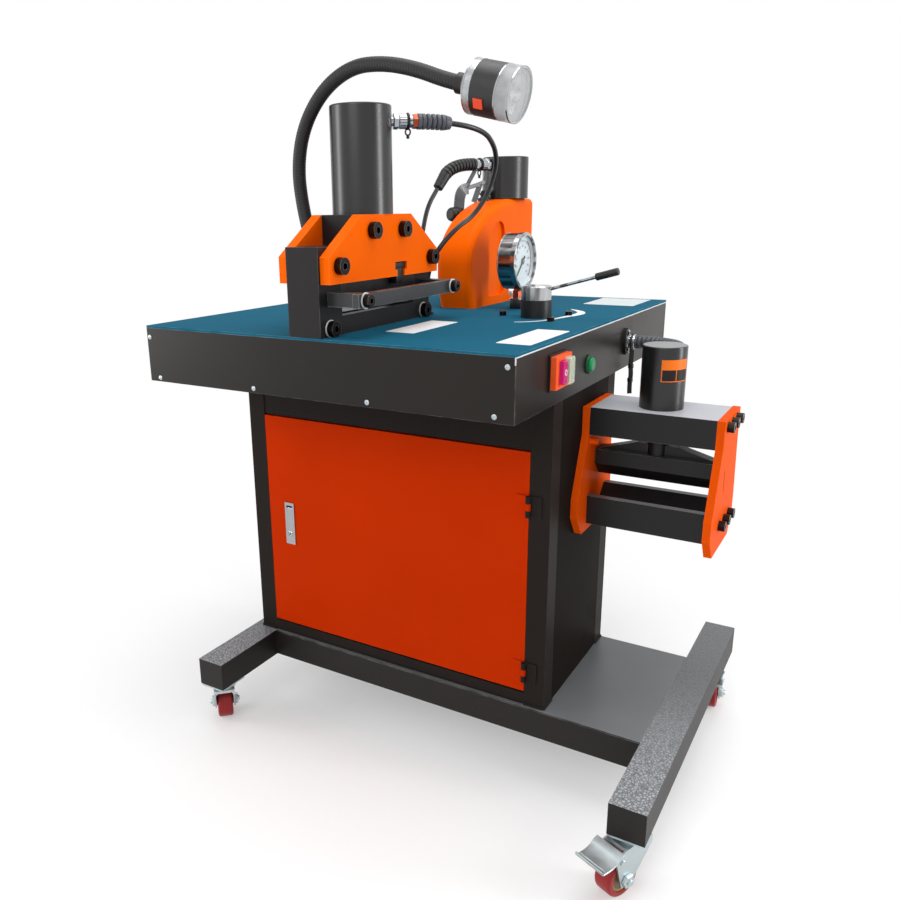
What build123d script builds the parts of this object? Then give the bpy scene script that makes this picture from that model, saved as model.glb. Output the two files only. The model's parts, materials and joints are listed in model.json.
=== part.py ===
"""Mobile busbar processing machine: shear, punch and bender on one wheeled bench.

Millimetres. +X runs to the right along the front, +Y to the back and +Z up. The origin is on the floor,
in the middle of the four caster swivel axes.
"""

import os
from math import cos, pi, radians, sin, tan

from build123d import *

os.makedirs("parts", exist_ok=True)

# Fits
seam = 0.3  # gap between neighbours that are not joined
running = 0.05  # radial clearance of a turning or sliding shaft
sheet = 2.0  # thickness of the cabinet and skirt sheets

# Base
beam_width = 57.0
beam_height = 54.0
beam_length = 642.0
beam_reach = 407.2  # from the middle to each beam's centre line
rail_width = 50.0
base_front = -156.0
base_back = 153.8
deck_plate = 3.0

# Casters
caster_height = 96.0
caster_reach = 289.0  # from the middle to each swivel axis, along the beams
caster_trail = 30.0
wheel_diameter = 65.0
wheel_width = 30.0
caster_plate = 4.0
race_height = 6.0
race_radius = 24.0
crown_plate = 5.0
kingpin_radius = 6.0
cheek = 3.0
wheel_gap = 2.0
axle_radius = 5.0
pedal_trail = 46.0
pedal_height = 74.0
pedal_pin = 3.0
pedal_plate = 3.0
pedal_width = 52.0
pedal_reach = 46.0  # beyond the pedal's pin

# Cabinet
cabinet_left = -417.4
cabinet_right = 208.5
cabinet_front = -149.3
cabinet_back = 153.6
post = 36.4
sill_height = 22.0
door_bottom = 175.6
door_top = 608.0
door_depth = 18.0
door_gap = 1.0
header_gap = 3.0
hinge_heights = (517.0, 215.0)
hinge_length = 36.0
hinge_radius = 4.5
hinge_pin = 2.5
hinge_leaf = 22.0
hinge_plate = 2.5
latch_x = -330.0
latch_z = 393.6
latch_width = 22.0
latch_height = 86.0
latch_depth = 14.0
latch_rim = 2.0
paddle_plate = 3.0
paddle_pin = 2.0

# Table
table_left = -507.7
table_right = 210.8
table_front = -306.7
table_back = 478.2
table_height = 792.0
table_plate = 4.0
skirt_depth = 96.0
table_rail = 30.0
panel_lap = 20.0  # of the cabinet's panels behind the skirt

# Power pack inside the cabinet
tank_length = 250.0
tank_depth = 200.0
tank_height = 170.0
tank_left = -350.0
tank_front = -90.0
tank_wall = 4.0
pump_length = 30.0
motor_y = 10.0
motor_axis_height = 85.0
motor_radius = 62.0
motor_length = 160.0
motor_shaft = 9.0
cowl_length = 36.0
cowl_wall = 3.0
fan_radius = 50.0
fan_width = 14.0

# Cutter
cutter_x = -150.0
cutter_y = -133.0
cutter_width = 62.0
cutter_plate = 18.0
cutter_half = 168.0
cutter_front_lip = 5.0  # the front column stands this much further out than the plates
slot_half = 113.0
slot_floor = 30.0  # slot floor above the table
slot_opening = 20.0
plate_foot = 83.0  # lower edge of the side plates above the table
key_slot_y = 41.0  # middle of the plate's keyway from the cutter's middle
key_slot_half = 12.0
key_slot_head = 19.0
key_slot_neck = 10.5
key_slot_height = 24.0
plate_shoulder = 124.0
plate_top = 186.0
plate_top_half = 76.0
column_height = 139.0
head_half = 75.0
ram_height = 47.0
ram_lift = 5.0  # the blade stands below the carrier by this much
blade_thickness = 11.8
blade_height = 32.0
blade_half = 108.0
lower_blade_height = 22.0
lower_blade_width = 26.0
blade_gap = 0.4
blade_dip = 8.0
cutter_cylinder_radius = 51.0
cutter_cylinder_height = 171.0
cutter_bore = 40.0
cutter_rod = 25.0
cutter_piston = 27.0
cylinder_cap = 12.0
screw_head = 13.5
screw_head_height = 12.0
screw_shank = 9.0
socket_depth = 6.0
bar_thickness = 12.0
bar_height = 22.0
bar_overhang = 18.5  # the bar beyond its arms
bar_level = 48.0
bar_stand = 53.0
arm_width = 20.0
arm_reach = 141.5
bar_screw_head = 5.0
bar_screw_shank = 3.0

# Punch
punch_x = -128.5
punch_y = 390.5
punch_thickness = 75.0
punch_foot = 172.0  # y of the casting's back at its foot
punch_spine = 146.0  # y of the casting's back at its fullest
punch_front = 455.0
throat_wall = 337.0
bearer_width = 40.0
bearer_spots = (250.0, 425.0)
lower_jaw_rise = 4.0  # above the table
throat_opening = 84.0
punch_crown = 125.0  # the casting's top above the throat
punch_round = 13.0
pocket_depth = 7.0
punch_cylinder_radius = 49.0
punch_cylinder_height = 85.0
punch_bore = 34.0
punch_rod = 16.0
punch_piston = 14.0
punch_tip_radius = 7.0
punch_tip_length = 12.0
punch_tip_gap = 44.0  # the resting punch above the die
die_radius = 20.0
die_height = 20.0
die_sink = 10.0
die_clearance = 0.15
slug_radius = 9.0
table_slot_gap = 2.0
foot_bend = 100.0
foot_bend_rise = 48.0  # above the table
arch_depth = 234.0
arch_rise = 130.0
throat_round = 20.0
pocket_rim = 88.0  # behind the casting's back
pocket_margin = 26.0
pocket_top_drop = 46.0
pocket_corners = (12.0, 55.0, 22.0, 12.0)
punch_cap = 7.0

# Pressure gauge, facing +X
gauge_x = 3.0
gauge_y = 207.0
gauge_rise = 92.0  # the gauge's centre above the table
gauge_radius = 54.0
gauge_depth = 38.0
gauge_wall = 5.0
gauge_back = 29.5
gauge_glass_plate = 2.5
gauge_glass_sink = 1.5
gauge_stem_x = -13.0
stem_block = 24.0
stem_block_height = 20.0
stem_hex = 10.0
stem_nipple = 4.0
glass_step = 1.5
needle_length = 38.0
needle_width = 4.0
needle_plate = 2.0
needle_hub = 6.0
needle_post = 2.0
needle_rest = 225.0  # degrees from +Y towards +Z

# Selector valve
valve_x = 75.8
valve_y = 89.0
valve_radius = 28.0
valve_height = 32.0
valve_cap_height = 25.0
valve_cap_radius = 28.0
valve_post = 8.0
lever_slope = 15.5
lever_rod = 3.0
lever_start = 20.0  # from the valve's axis
lever_length = 104.0
lever_height = 50.0  # of the rod's start, above the table
grip_radius = 6.5
grip_length = 42.0
grip_overlap = 12.0
grip_clearance = 0.1
valve_screw_ring = 66.0
valve_screw_angles = (180.0, -45.0, 48.0)
valve_screw_head = 6.5
valve_screw_head_height = 8.0
valve_screw_shank = 4.0

# Bender on the cabinet's right side
bender_y = 43.0
bender_plate = 12.4
bender_clear = 205.0
bender_drop = 132.0  # the block's top below the table
bender_block_height = 48.0
bender_block_half = 57.0
# heights of the bender's forms, below its block's top
bender_plate_low_drop = 223.0
bender_flare_top_drop = 155.0
bender_flare_low_drop = 188.0
bender_front_half = 99.0
bender_back_half = 76.0
bender_cylinder_radius = 36.0
bender_cylinder_height = 105.0
bender_bore = 26.0
bender_rod = 18.0
bender_piston = 16.0
bender_cap = 8.0
beam_nose_drop = 129.0
beam_depth = 47.0
beam_thickness = 44.0
beam_side_gap = 1.6
nose_half = 3.0
nose_height = 22.0
gusset_height = 19.0
gusset_half = 33.0
gusset_thickness = 22.0
vdie_low_drop = 210.0
vdie_high_drop = 159.0
vdie_half = 52.0
vdie_mouth = 38.0
vdie_floor_drop = 193.0
vdie_floor_half = 2.0
bender_screw_head = 8.5
bender_screw_head_height = 11.0
bender_screw_shank = 6.0
bender_screw_pitch = 36.0
bender_screw_top_drop = 13.0
bender_screw_low_drop = 179.0
bender_screw_grip = 22.0
sight_y = 17.0
sight_width = 5.0
sight_low_drop = 125.0
sight_high_drop = 88.0
stop_pin_y = -5.0
stop_pin_z_drop = 60.0
stop_pin_radius = 6.0
stop_pin_length = 14.0

# Controls in the right skirt
switch_y = -152.0
switch_drop = 47.0  # below the table
switch_width = 64.0
switch_height = 50.0
switch_depth = 9.0
switch_plate = 3.0
switch_rim = 3.0
key_width = 17.0
key_height = 36.0
key_pitch = 24.0
key_rise = 8.0
key_travel = 4.0
key_root = 3.5
pump_button_y = -5.0
pump_button_drop = 61.0  # below the table
bezel_radius = 15.0
bezel_depth = 4.0
bezel_barrel = 13.0
bezel_barrel_length = 18.0
pump_button_radius = 11.5
pump_button_rise = 5.0

# Work lamp
lamp_x = -224.0
lamp_y = -161.0
lamp_base_radius = 28.0
lamp_base_height = 8.0
lamp_socket_radius = 16.0
lamp_socket_height = 15.0
neck_radius = 11.0
neck_points = (  # x and height above the table
    (-226.0, 68.0),
    (-238.0, 133.0),
    (-255.0, 198.0),
    (-262.0, 263.0),
    (-246.0, 328.0),
    (-203.0, 382.0),
    (-146.0, 411.0),
    (-88.0, 411.0),
    (-30.0, 398.0),
)
neck_lead = 30.0  # straight approach of the neck to the head
head_x = 57.6
head_rise = 368.0  # the lamp's tail above the table
head_length = 89.0
head_tilt = 14.0
head_radius = 39.0
head_neck_radius = 17.0
head_cone = 14.0
head_wall = 3.0
head_cavity = 26.0
lens_plate = 6.0
lens_sink = 2.0
lamp_button_side = 15.0
lamp_button_rise = 2.0
lamp_button_travel = 2.0
lamp_button_root = 6.0
lamp_button_along = 42.0
lamp_button_turn = 35.0  # below the lamp's front

# Hydraulic couplers, bend guards and hoses
hose_diameter = 9.0
coupler_length = 45.0
coupler_nipple = 6.0
coupler_sink = 6.0
coupler_hex = 11.0
coupler_sleeve = 12.0
guard_bore = 4.9
guard_groove = 7.5
guard_rib = 10.5
guard_pitch = 7.0
cutter_port_height = 147.0  # above the cylinder's foot
cutter_port_angle = 45.0
cutter_guard_length = 58.0
punch_port_height = 68.5
punch_port_angle = 250.0
punch_guard_straight = 10.0
punch_guard_bend = 108.0
punch_guard_drop = 52.0  # degrees that the guard turns down
bulkhead_y = 196.0
bulkhead_drop = 50.0  # below the table
bulkhead_hole = 12.0
bulkhead_length = 45.0
bender_guard_straight = 6.0
grommet_radius = 9.0
grommet_rim = 4.0
cutter_grommet = (-132.0, 49.0)
punch_grommet = (-212.0, 162.0)
hose_end = 10.0  # the hoses stop this far below the table
cutter_hose_points = (  # x, y and height above the table
    (-14.0, 112.0, 290.0),
    (-52.0, 136.0, 193.0),
    (-80.0, 74.0, 160.0),
    (-108.0, 49.0, 120.0),
    (-126.0, 48.0, 83.0),
    (-132.0, 49.3, 43.0),
    (-132.0, 49.0, 13.0),
)
punch_hose_points = (
    (-209.5, 170.0, 148.0),
    (-213.0, 161.0, 93.0),
    (-212.0, 162.0, 40.0),
)


def slab(x, y, z, mode=Mode.ADD):
    """A block between the pairs x, y and z."""
    with Locations(((x[0] + x[1]) / 2, (y[0] + y[1]) / 2, (z[0] + z[1]) / 2)):
        Box(x[1] - x[0], y[1] - y[0], z[1] - z[0], mode=mode)


def rod(start, along, length, radius, mode=Mode.ADD):
    """A round bar from a start point along a direction."""
    with Locations(Plane(origin=start, z_dir=along)):
        Cylinder(radius, length, align=(Align.CENTER, Align.CENTER, Align.MIN), mode=mode)


def about(middle, half):
    """The pair of values at the same distance on both sides of a middle."""
    return (middle - half, middle + half)


def socket_screw(seat, inward, head, head_height, shank, length):
    """A socket-head screw: its head stands out from the seat and its shank runs inward."""
    inward = Vector(*inward)
    seat = Vector(*seat)
    rod(seat - inward * head_height, inward, head_height, head)
    rod(seat, inward, length, shank)
    with Locations(Plane(origin=seat - inward * head_height, z_dir=inward)):
        Cylinder(
            shank * 0.62,
            min(socket_depth, head_height / 2),
            align=(Align.CENTER, Align.CENTER, Align.MIN),
            mode=Mode.SUBTRACT,
        )


def bend_radii(points):
    """For each inner point of a route, the largest arc that its two runs leave room for."""
    radii = []
    for before, here, after in zip(points, points[1:], points[2:]):
        first = Vector(*here) - Vector(*before)
        second = Vector(*after) - Vector(*here)
        turn = radians(first.get_angle(second))
        radii.append(0.45 * min(first.length, second.length) / tan(turn / 2))
    return radii


def rib_sections(route, steady, end_length):
    """Planes and radii along a route for a sleeve with plain ends and ribs between them."""
    length = route.length
    sections = [(0.0, guard_rib), (end_length, guard_rib)]
    count = max(1, int((length - 2 * end_length) / guard_pitch))
    pitch = (length - 2 * end_length) / count
    for index in range(count):
        first = end_length + index * pitch
        sections.append((first + 0.15 * pitch, guard_groove))
        sections.append((first + 0.45 * pitch, guard_groove))
        sections.append((first + 0.60 * pitch, guard_rib))
        sections.append((first + 1.00 * pitch, guard_rib))
    sections.append((length, guard_rib))
    planes = []
    for distance, radius in sections:
        share = distance / length
        planes.append((Plane(origin=route @ share, x_dir=steady, z_dir=route % share), radius))
    return planes


def finish(piece, name):
    """Label a finished piece and write it out."""
    piece.part.label = name
    export_step(piece.part, f"parts/{name}.step")


# Levels and places that follow from the sizes above
beam_top = caster_height + beam_height
deck_top = beam_top
table_under = table_height - table_plate
skirt_low = table_under - skirt_depth
post_top = table_under - table_rail
post_left = (cabinet_left, cabinet_left + post)
post_right = (cabinet_right - post, cabinet_right)
post_front = (cabinet_front, cabinet_front + post)
post_back = (cabinet_back - post, cabinet_back)
jaw_lower = table_height + lower_jaw_rise
jaw_upper = jaw_lower + throat_opening
punch_base = post_top
punch_top = jaw_upper + punch_crown
punch_tip_height = jaw_lower - die_sink + die_height + punch_tip_gap
gauge_z = table_height + gauge_rise
switch_z = table_height - switch_drop
pump_button_z = table_height - pump_button_drop
bulkhead_z = table_height - bulkhead_drop
bender_top = table_height - bender_drop
bender_plate_low = bender_top - bender_plate_low_drop
bender_flare_top = bender_top - bender_flare_top_drop
bender_flare_low = bender_top - bender_flare_low_drop
beam_nose = bender_top - beam_nose_drop
vdie_low = bender_top - vdie_low_drop
vdie_high = bender_top - vdie_high_drop
vdie_floor = bender_top - vdie_floor_drop
bender_screw_top = bender_top - bender_screw_top_drop
bender_screw_low = bender_top - bender_screw_low_drop
sight_low = bender_top - sight_low_drop
sight_high = bender_top - sight_high_drop
stop_pin_z = bender_top - stop_pin_z_drop

# Base: two foot beams joined by two rails
rail_x = (-beam_reach + beam_width / 2 + seam, beam_reach - beam_width / 2 - seam)
with BuildPart() as base_frame:
    for side in (-1, 1):
        slab(about(side * beam_reach, beam_width / 2), about(0, beam_length / 2), (caster_height, beam_top))
    for front in (base_front, base_back - rail_width):
        slab(rail_x, (front, front + rail_width), (caster_height, deck_top - deck_plate))
finish(base_frame, "base_frame")

with BuildPart() as base_deck:
    slab(rail_x, (base_front, base_back), (deck_top - deck_plate, deck_top))
finish(base_deck, "base_deck")

# Casters
race_low = caster_height - caster_plate - race_height
crown_top = race_low - seam
crown_low = crown_top - crown_plate
king_head = crown_low - seam
cheek_inner = wheel_width / 2 + wheel_gap
cheek_outer = cheek_inner + cheek
axle_height = wheel_diameter / 2
casters = {
    "front_right": (beam_reach, -caster_reach, -113.0),
    "front_left": (-beam_reach, -caster_reach, 135.0),
    "rear_right": (beam_reach, caster_reach, -85.0),
    "rear_left": (-beam_reach, caster_reach, -107.0),
}

with BuildPart() as caster_plates:
    for place_x, place_y, heading in casters.values():
        slab(
            about(place_x, beam_width / 2 - 1.5),
            about(place_y, 31.0),
            (caster_height - caster_plate, caster_height),
        )
        rod((place_x, place_y, race_low), (0, 0, 1), race_height, race_radius)
        rod((place_x, place_y, king_head - 3.0), (0, 0, 1), race_low - king_head + 3.0, kingpin_radius)
        rod((place_x, place_y, king_head - 3.0), (0, 0, 1), 3.0, kingpin_radius + 4.0)
finish(caster_plates, "caster_plates")

for caster, (place_x, place_y, heading) in casters.items():
    trail = Vector(cos(radians(heading)), sin(radians(heading)), 0)
    axle = Vector(-trail.Y, trail.X, 0)
    swivel = Vector(place_x, place_y, 0)
    # local x is the trail and local y the height
    side_view = Plane(origin=swivel, x_dir=trail, z_dir=-axle)
    axle_point = swivel + trail * caster_trail + Vector(0, 0, axle_height)
    pedal_point = swivel + trail * pedal_trail + Vector(0, 0, pedal_height)
    braked = caster != "rear_left"

    with BuildPart() as caster_fork:
        with BuildSketch(Plane(origin=(place_x, place_y, crown_low), x_dir=trail, z_dir=(0, 0, 1))):
            with Locations((3.0, 0)):
                RectangleRounded(60.0, 2 * cheek_outer, 8.0)
        extrude(amount=crown_plate)
        for side in (-1, 1):
            with BuildSketch(side_view.offset(side * (cheek_inner + cheek / 2))):
                Polygon(
                    (-24.0, crown_top),
                    (31.0, crown_top),
                    (pedal_trail + 7.0, pedal_height + 6.0),
                    (pedal_trail + 7.0, pedal_height - 6.0),
                    (caster_trail + 11.0, axle_height - 10.0),
                    (caster_trail - 11.0, axle_height - 10.0),
                    (-24.0, crown_low - 8.0),
                    align=None,
                )
            extrude(amount=cheek / 2, both=True)
        rod(axle_point - axle * (cheek_outer + 4.0), axle, 2 * (cheek_outer + 4.0), axle_radius)
        for side in (-1, 1):
            rod(axle_point + axle * side * cheek_outer, axle * side, 5.0, axle_radius + 4.0)
        rod((place_x, place_y, crown_low), (0, 0, 1), crown_plate, kingpin_radius + running, Mode.SUBTRACT)
        if braked:
            rod(
                pedal_point - axle * cheek_outer,
                axle,
                2 * cheek_outer,
                pedal_pin + running,
                Mode.SUBTRACT,
            )
    finish(caster_fork, f"caster_fork_{caster}")

    with BuildPart() as caster_wheel:
        rod(axle_point - axle * wheel_width / 2, axle, wheel_width, wheel_diameter / 2)
        tread_edges = caster_wheel.edges().filter_by(GeomType.CIRCLE).group_by(SortBy.RADIUS)[-1]
        fillet(tread_edges, 5.0)
        for side in (-1, 1):
            face_point = axle_point + axle * side * wheel_width / 2
            rod(face_point, axle * -side, 3.0, wheel_diameter / 2 - 9.0, Mode.SUBTRACT)
            rod(face_point - axle * side * 3.0, axle * side, 3.0 + wheel_gap - seam, axle_radius + 5.0)
        rod(
            axle_point - axle * wheel_width,
            axle,
            2 * wheel_width,
            axle_radius + running,
            Mode.SUBTRACT,
        )
    finish(caster_wheel, f"caster_wheel_{caster}")

    if braked:
        pedal_low = pedal_height + 1.5
        tip = pedal_trail + pedal_reach
        with BuildPart() as brake_pedal:
            rod(pedal_point - axle * (cheek_inner - seam), axle, 2 * (cheek_inner - seam), pedal_pin + 2.0)
            rod(pedal_point - axle * cheek_outer, axle, 2 * cheek_outer, pedal_pin)
            with BuildSketch(side_view):
                Polygon(
                    (pedal_trail - 2.0, pedal_low),
                    (pedal_trail + 12.0, pedal_low),
                    (pedal_trail + 12.0, pedal_low + pedal_plate),
                    (pedal_trail - 2.0, pedal_low + pedal_plate),
                    align=None,
                )
            extrude(amount=cheek_inner - seam, both=True)
            with BuildSketch(side_view):
                Polygon(
                    (pedal_trail + 10.0, pedal_low),
                    (tip - 9.0, pedal_low + 6.0),
                    (tip - 1.0, pedal_low + 1.0),
                    (tip, pedal_low + pedal_plate),
                    (tip - 9.0, pedal_low + 6.0 + pedal_plate),
                    (pedal_trail + 10.0, pedal_low + pedal_plate),
                    align=None,
                )
            extrude(amount=pedal_width / 2, both=True)
        finish(brake_pedal, f"brake_pedal_{caster}")

# Cabinet: posts, header, sill, back rail and the bearers under the table that carry the punch
inner_x = (post_left[1] + seam, post_right[0] - seam)
header_low = door_top + header_gap
cross_bar = (post_back[0], cabinet_back - sheet - seam)
with BuildPart() as cabinet_frame:
    for place_x in (post_left, post_right):
        for place_y in (post_front, post_back):
            slab(place_x, place_y, (deck_top, post_top))
    slab(inner_x, (cabinet_front + sheet, cabinet_front + 2 * sheet), (header_low, post_top))
    slab(inner_x, (cabinet_front, cabinet_front + 20.0), (deck_top, deck_top + sill_height))
    slab(inner_x, cross_bar, (post_top - table_rail, post_top))
    for place_y in bearer_spots:
        slab((post_left[0], post_right[1]), about(place_y, bearer_width / 2), (post_top - table_rail, post_top))
finish(cabinet_frame, "cabinet_frame")

panel_top = skirt_low + panel_lap
panel_y = (post_front[1] + seam, post_back[0] - seam)
with BuildPart() as cabinet_panels:
    slab((cabinet_left, cabinet_left + sheet), panel_y, (deck_top, panel_top))
    slab((cabinet_right - sheet, cabinet_right), panel_y, (deck_top, panel_top))
    slab(inner_x, (cabinet_back - sheet, cabinet_back), (deck_top, panel_top))
finish(cabinet_panels, "cabinet_panels")

# Door: a folded tray with the middle knuckle of each hinge
door_x = (post_left[1] + door_gap, post_right[0] - door_gap)
hinge_x = post_right[0] - door_gap / 2
hinge_y = cabinet_front - hinge_radius - 0.1
knuckle = hinge_length / 3
latch_body = latch_width / 2 - 2.0
latch_reach = latch_height / 2 - 2.0
leaf_gap = hinge_radius + 0.7
with BuildPart() as door_panel:
    slab(door_x, (cabinet_front, cabinet_front + door_depth), (door_bottom, door_top))
    slab(
        (door_x[0] + sheet, door_x[1] - sheet),
        (cabinet_front + sheet, cabinet_front + door_depth),
        (door_bottom + sheet, door_top - sheet),
        Mode.SUBTRACT,
    )
    slab(
        about(latch_x, latch_body + seam),
        (cabinet_front, cabinet_front + sheet),
        about(latch_z, latch_reach + seam),
        Mode.SUBTRACT,
    )
    for height in hinge_heights:
        slab(
            (hinge_x - hinge_leaf, hinge_x - leaf_gap),
            (cabinet_front - hinge_plate, cabinet_front),
            about(height, hinge_length / 2),
        )
        slab(
            (hinge_x - leaf_gap, hinge_x),
            (cabinet_front - hinge_plate, cabinet_front - 0.1),
            about(height, knuckle / 2 - seam),
        )
        rod((hinge_x, hinge_y, height - knuckle / 2 + seam), (0, 0, 1), knuckle - 2 * seam, hinge_radius)
        rod((hinge_x, hinge_y, height - knuckle), (0, 0, 1), 2 * knuckle, hinge_pin + running, Mode.SUBTRACT)
finish(door_panel, "door_panel")

with BuildPart() as door_hinge_pins:
    for height in hinge_heights:
        slab(
            (hinge_x + leaf_gap, hinge_x + hinge_leaf),
            (cabinet_front - hinge_plate, cabinet_front),
            about(height, hinge_length / 2),
        )
        for low in (height - hinge_length / 2, height + knuckle / 2):
            slab(
                (hinge_x, hinge_x + leaf_gap),
                (cabinet_front - hinge_plate, cabinet_front - 0.1),
                (low, low + knuckle),
            )
            rod((hinge_x, hinge_y, low), (0, 0, 1), knuckle, hinge_radius)
        rod((hinge_x, hinge_y, height - hinge_length / 2), (0, 0, 1), hinge_length, hinge_pin)
finish(door_hinge_pins, "door_hinge_pins")

# Paddle latch in the door
pocket_x = latch_body - 2.0
pocket_low = latch_z - latch_reach + 4.0
pocket_high = latch_z + latch_reach - 4.0
paddle_z = pocket_high - 7.0
paddle_y = cabinet_front - latch_rim + paddle_plate + 1.0
with BuildPart() as latch_case:
    slab(
        about(latch_x, latch_width / 2),
        (cabinet_front - latch_rim, cabinet_front),
        about(latch_z, latch_height / 2),
    )
    slab(
        about(latch_x, latch_body),
        (cabinet_front, cabinet_front + latch_depth),
        about(latch_z, latch_reach),
    )
    slab(
        about(latch_x, pocket_x),
        (cabinet_front - latch_rim, cabinet_front + latch_depth),
        (pocket_low, pocket_high),
        Mode.SUBTRACT,
    )
    rod(
        (latch_x - latch_body, paddle_y, paddle_z),
        (1, 0, 0),
        2 * latch_body,
        paddle_pin + running,
        Mode.SUBTRACT,
    )
finish(latch_case, "latch_case")

paddle_front = cabinet_front - latch_rim
with BuildPart() as latch_paddle:
    slab(
        about(latch_x, pocket_x - seam),
        (paddle_front, paddle_front + paddle_plate),
        (pocket_low + seam, paddle_z),
    )
    rod((latch_x - pocket_x + seam, paddle_y, paddle_z), (1, 0, 0), 2 * (pocket_x - seam), paddle_pin + 1.5)
    rod((latch_x - latch_body, paddle_y, paddle_z), (1, 0, 0), 2 * latch_body, paddle_pin)
    slab(
        about(latch_x, 3.5),
        (paddle_front + paddle_plate, cabinet_front + latch_depth - 3.0),
        (paddle_z - 18.0, paddle_z - 12.0),
    )
finish(latch_paddle, "latch_paddle")

# Power pack: tank with pump block, motor housing and rotor
motor_z = deck_top + motor_axis_height
tank_x = (tank_left, tank_left + tank_length)
tank_y = (tank_front, tank_front + tank_depth)
pump_x = (tank_x[1] + seam, tank_x[1] + seam + pump_length)
motor_x = (pump_x[1], pump_x[1] + motor_length)
with BuildPart() as oil_tank:
    slab(tank_x, tank_y, (deck_top, deck_top + tank_height))
    slab(
        (tank_x[0] + tank_wall, tank_x[1] - tank_wall),
        (tank_y[0] + tank_wall, tank_y[1] - tank_wall),
        (deck_top + tank_wall, deck_top + tank_height - tank_wall),
        Mode.SUBTRACT,
    )
    rod((tank_left + 50.0, tank_front + 50.0, deck_top + tank_height), (0, 0, 1), 22.0, 20.0)
    slab(pump_x, about(motor_y, 40.0), (deck_top, motor_z + 40.0))
    rod((pump_x[1] - 20.0, motor_y, motor_z), (1, 0, 0), 20.0, motor_shaft + running, Mode.SUBTRACT)
finish(oil_tank, "oil_tank")

cowl_x = (motor_x[1], motor_x[1] + cowl_length)
with BuildPart() as motor_housing:
    rod((motor_x[0], motor_y, motor_z), (1, 0, 0), motor_length + cowl_length, motor_radius)
    slab(
        (motor_x[0] + 20.0, motor_x[1] - 20.0),
        about(motor_y, motor_radius * 0.75),
        (deck_top, motor_z - motor_radius * 0.5),
    )
    rod((cowl_x[0], motor_y, motor_z), (1, 0, 0), cowl_length - cowl_wall, motor_radius - cowl_wall, Mode.SUBTRACT)
    rod((cowl_x[1] - cowl_wall, motor_y, motor_z), (1, 0, 0), cowl_wall, 30.0, Mode.SUBTRACT)
    rod((motor_x[0], motor_y, motor_z), (1, 0, 0), motor_length, motor_shaft + running, Mode.SUBTRACT)
finish(motor_housing, "motor_housing")

fan_x = cowl_x[0] + 6.0
with BuildPart() as motor_rotor:
    rod((pump_x[1] - 18.0, motor_y, motor_z), (1, 0, 0), fan_x + fan_width - pump_x[1] + 18.0, motor_shaft)
    rod((fan_x, motor_y, motor_z), (1, 0, 0), fan_width, 18.0)
    for index in range(8):
        angle = 2 * pi * index / 8
        blade = Vector(0, cos(angle), sin(angle))
        middle = Vector(fan_x + fan_width / 2, motor_y, motor_z) + blade * (fan_radius + 15.0) / 2
        with Locations(Plane(origin=middle, x_dir=(1, 0, 0), z_dir=blade)):
            Box(fan_width, 3.0, fan_radius - 15.0)
finish(motor_rotor, "motor_rotor")

# Table: a plate on rails with a skirt of four panels
valve_screws = [
    (valve_x + valve_screw_ring * cos(radians(a)), valve_y + valve_screw_ring * sin(radians(a)))
    for a in valve_screw_angles
]
slot_x = about(punch_x, punch_thickness / 2 + table_slot_gap)
# outline of the punch casting's back, in (y, z), below its arch
arch_low = punch_top - arch_rise
punch_back = (
    (punch_foot, punch_base),
    (punch_spine, table_height + foot_bend_rise),
    (punch_spine, arch_low),
)
foot_lean = (punch_spine - punch_foot) / (table_height + foot_bend_rise - punch_base)
slot_start = punch_foot + foot_lean * (table_height - punch_base) - table_slot_gap
with BuildPart() as table_top:
    slab((table_left, table_right), (table_front, table_back), (table_under, table_height))
    slab(
        slot_x,
        (slot_start, punch_front + table_slot_gap),
        (table_under, table_height),
        Mode.SUBTRACT,
    )
    for place_x, place_y in (cutter_grommet, punch_grommet):
        rod((place_x, place_y, table_under), (0, 0, 1), table_plate, grommet_radius, Mode.SUBTRACT)
    for place_x, place_y in valve_screws:
        rod((place_x, place_y, table_under), (0, 0, 1), table_plate, valve_screw_shank + running, Mode.SUBTRACT)
finish(table_top, "table_top")

skirt_x = (table_left + sheet + seam, table_right - sheet - seam)
skirt_y = (table_front + sheet + seam, table_back - sheet - seam)
with BuildPart() as table_skirt:
    slab((table_left, table_right), (table_front, table_front + sheet), (skirt_low, table_under))
    slab((table_left, table_right), (table_back - sheet, table_back), (skirt_low, table_under))
    slab((table_left, table_left + sheet), skirt_y, (skirt_low, table_under))
    slab((table_right - sheet, table_right), skirt_y, (skirt_low, table_under))
    rod(
        (table_right - sheet, bulkhead_y, bulkhead_z),
        (1, 0, 0),
        sheet,
        bulkhead_hole + running,
        Mode.SUBTRACT,
    )
    rod(
        (table_right - sheet, pump_button_y, pump_button_z),
        (1, 0, 0),
        sheet,
        bezel_barrel + running,
        Mode.SUBTRACT,
    )
    slab(post_left, skirt_y, (post_top, table_under))
    slab(post_right, skirt_y, (post_top, table_under))
finish(table_skirt, "table_skirt")

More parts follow.
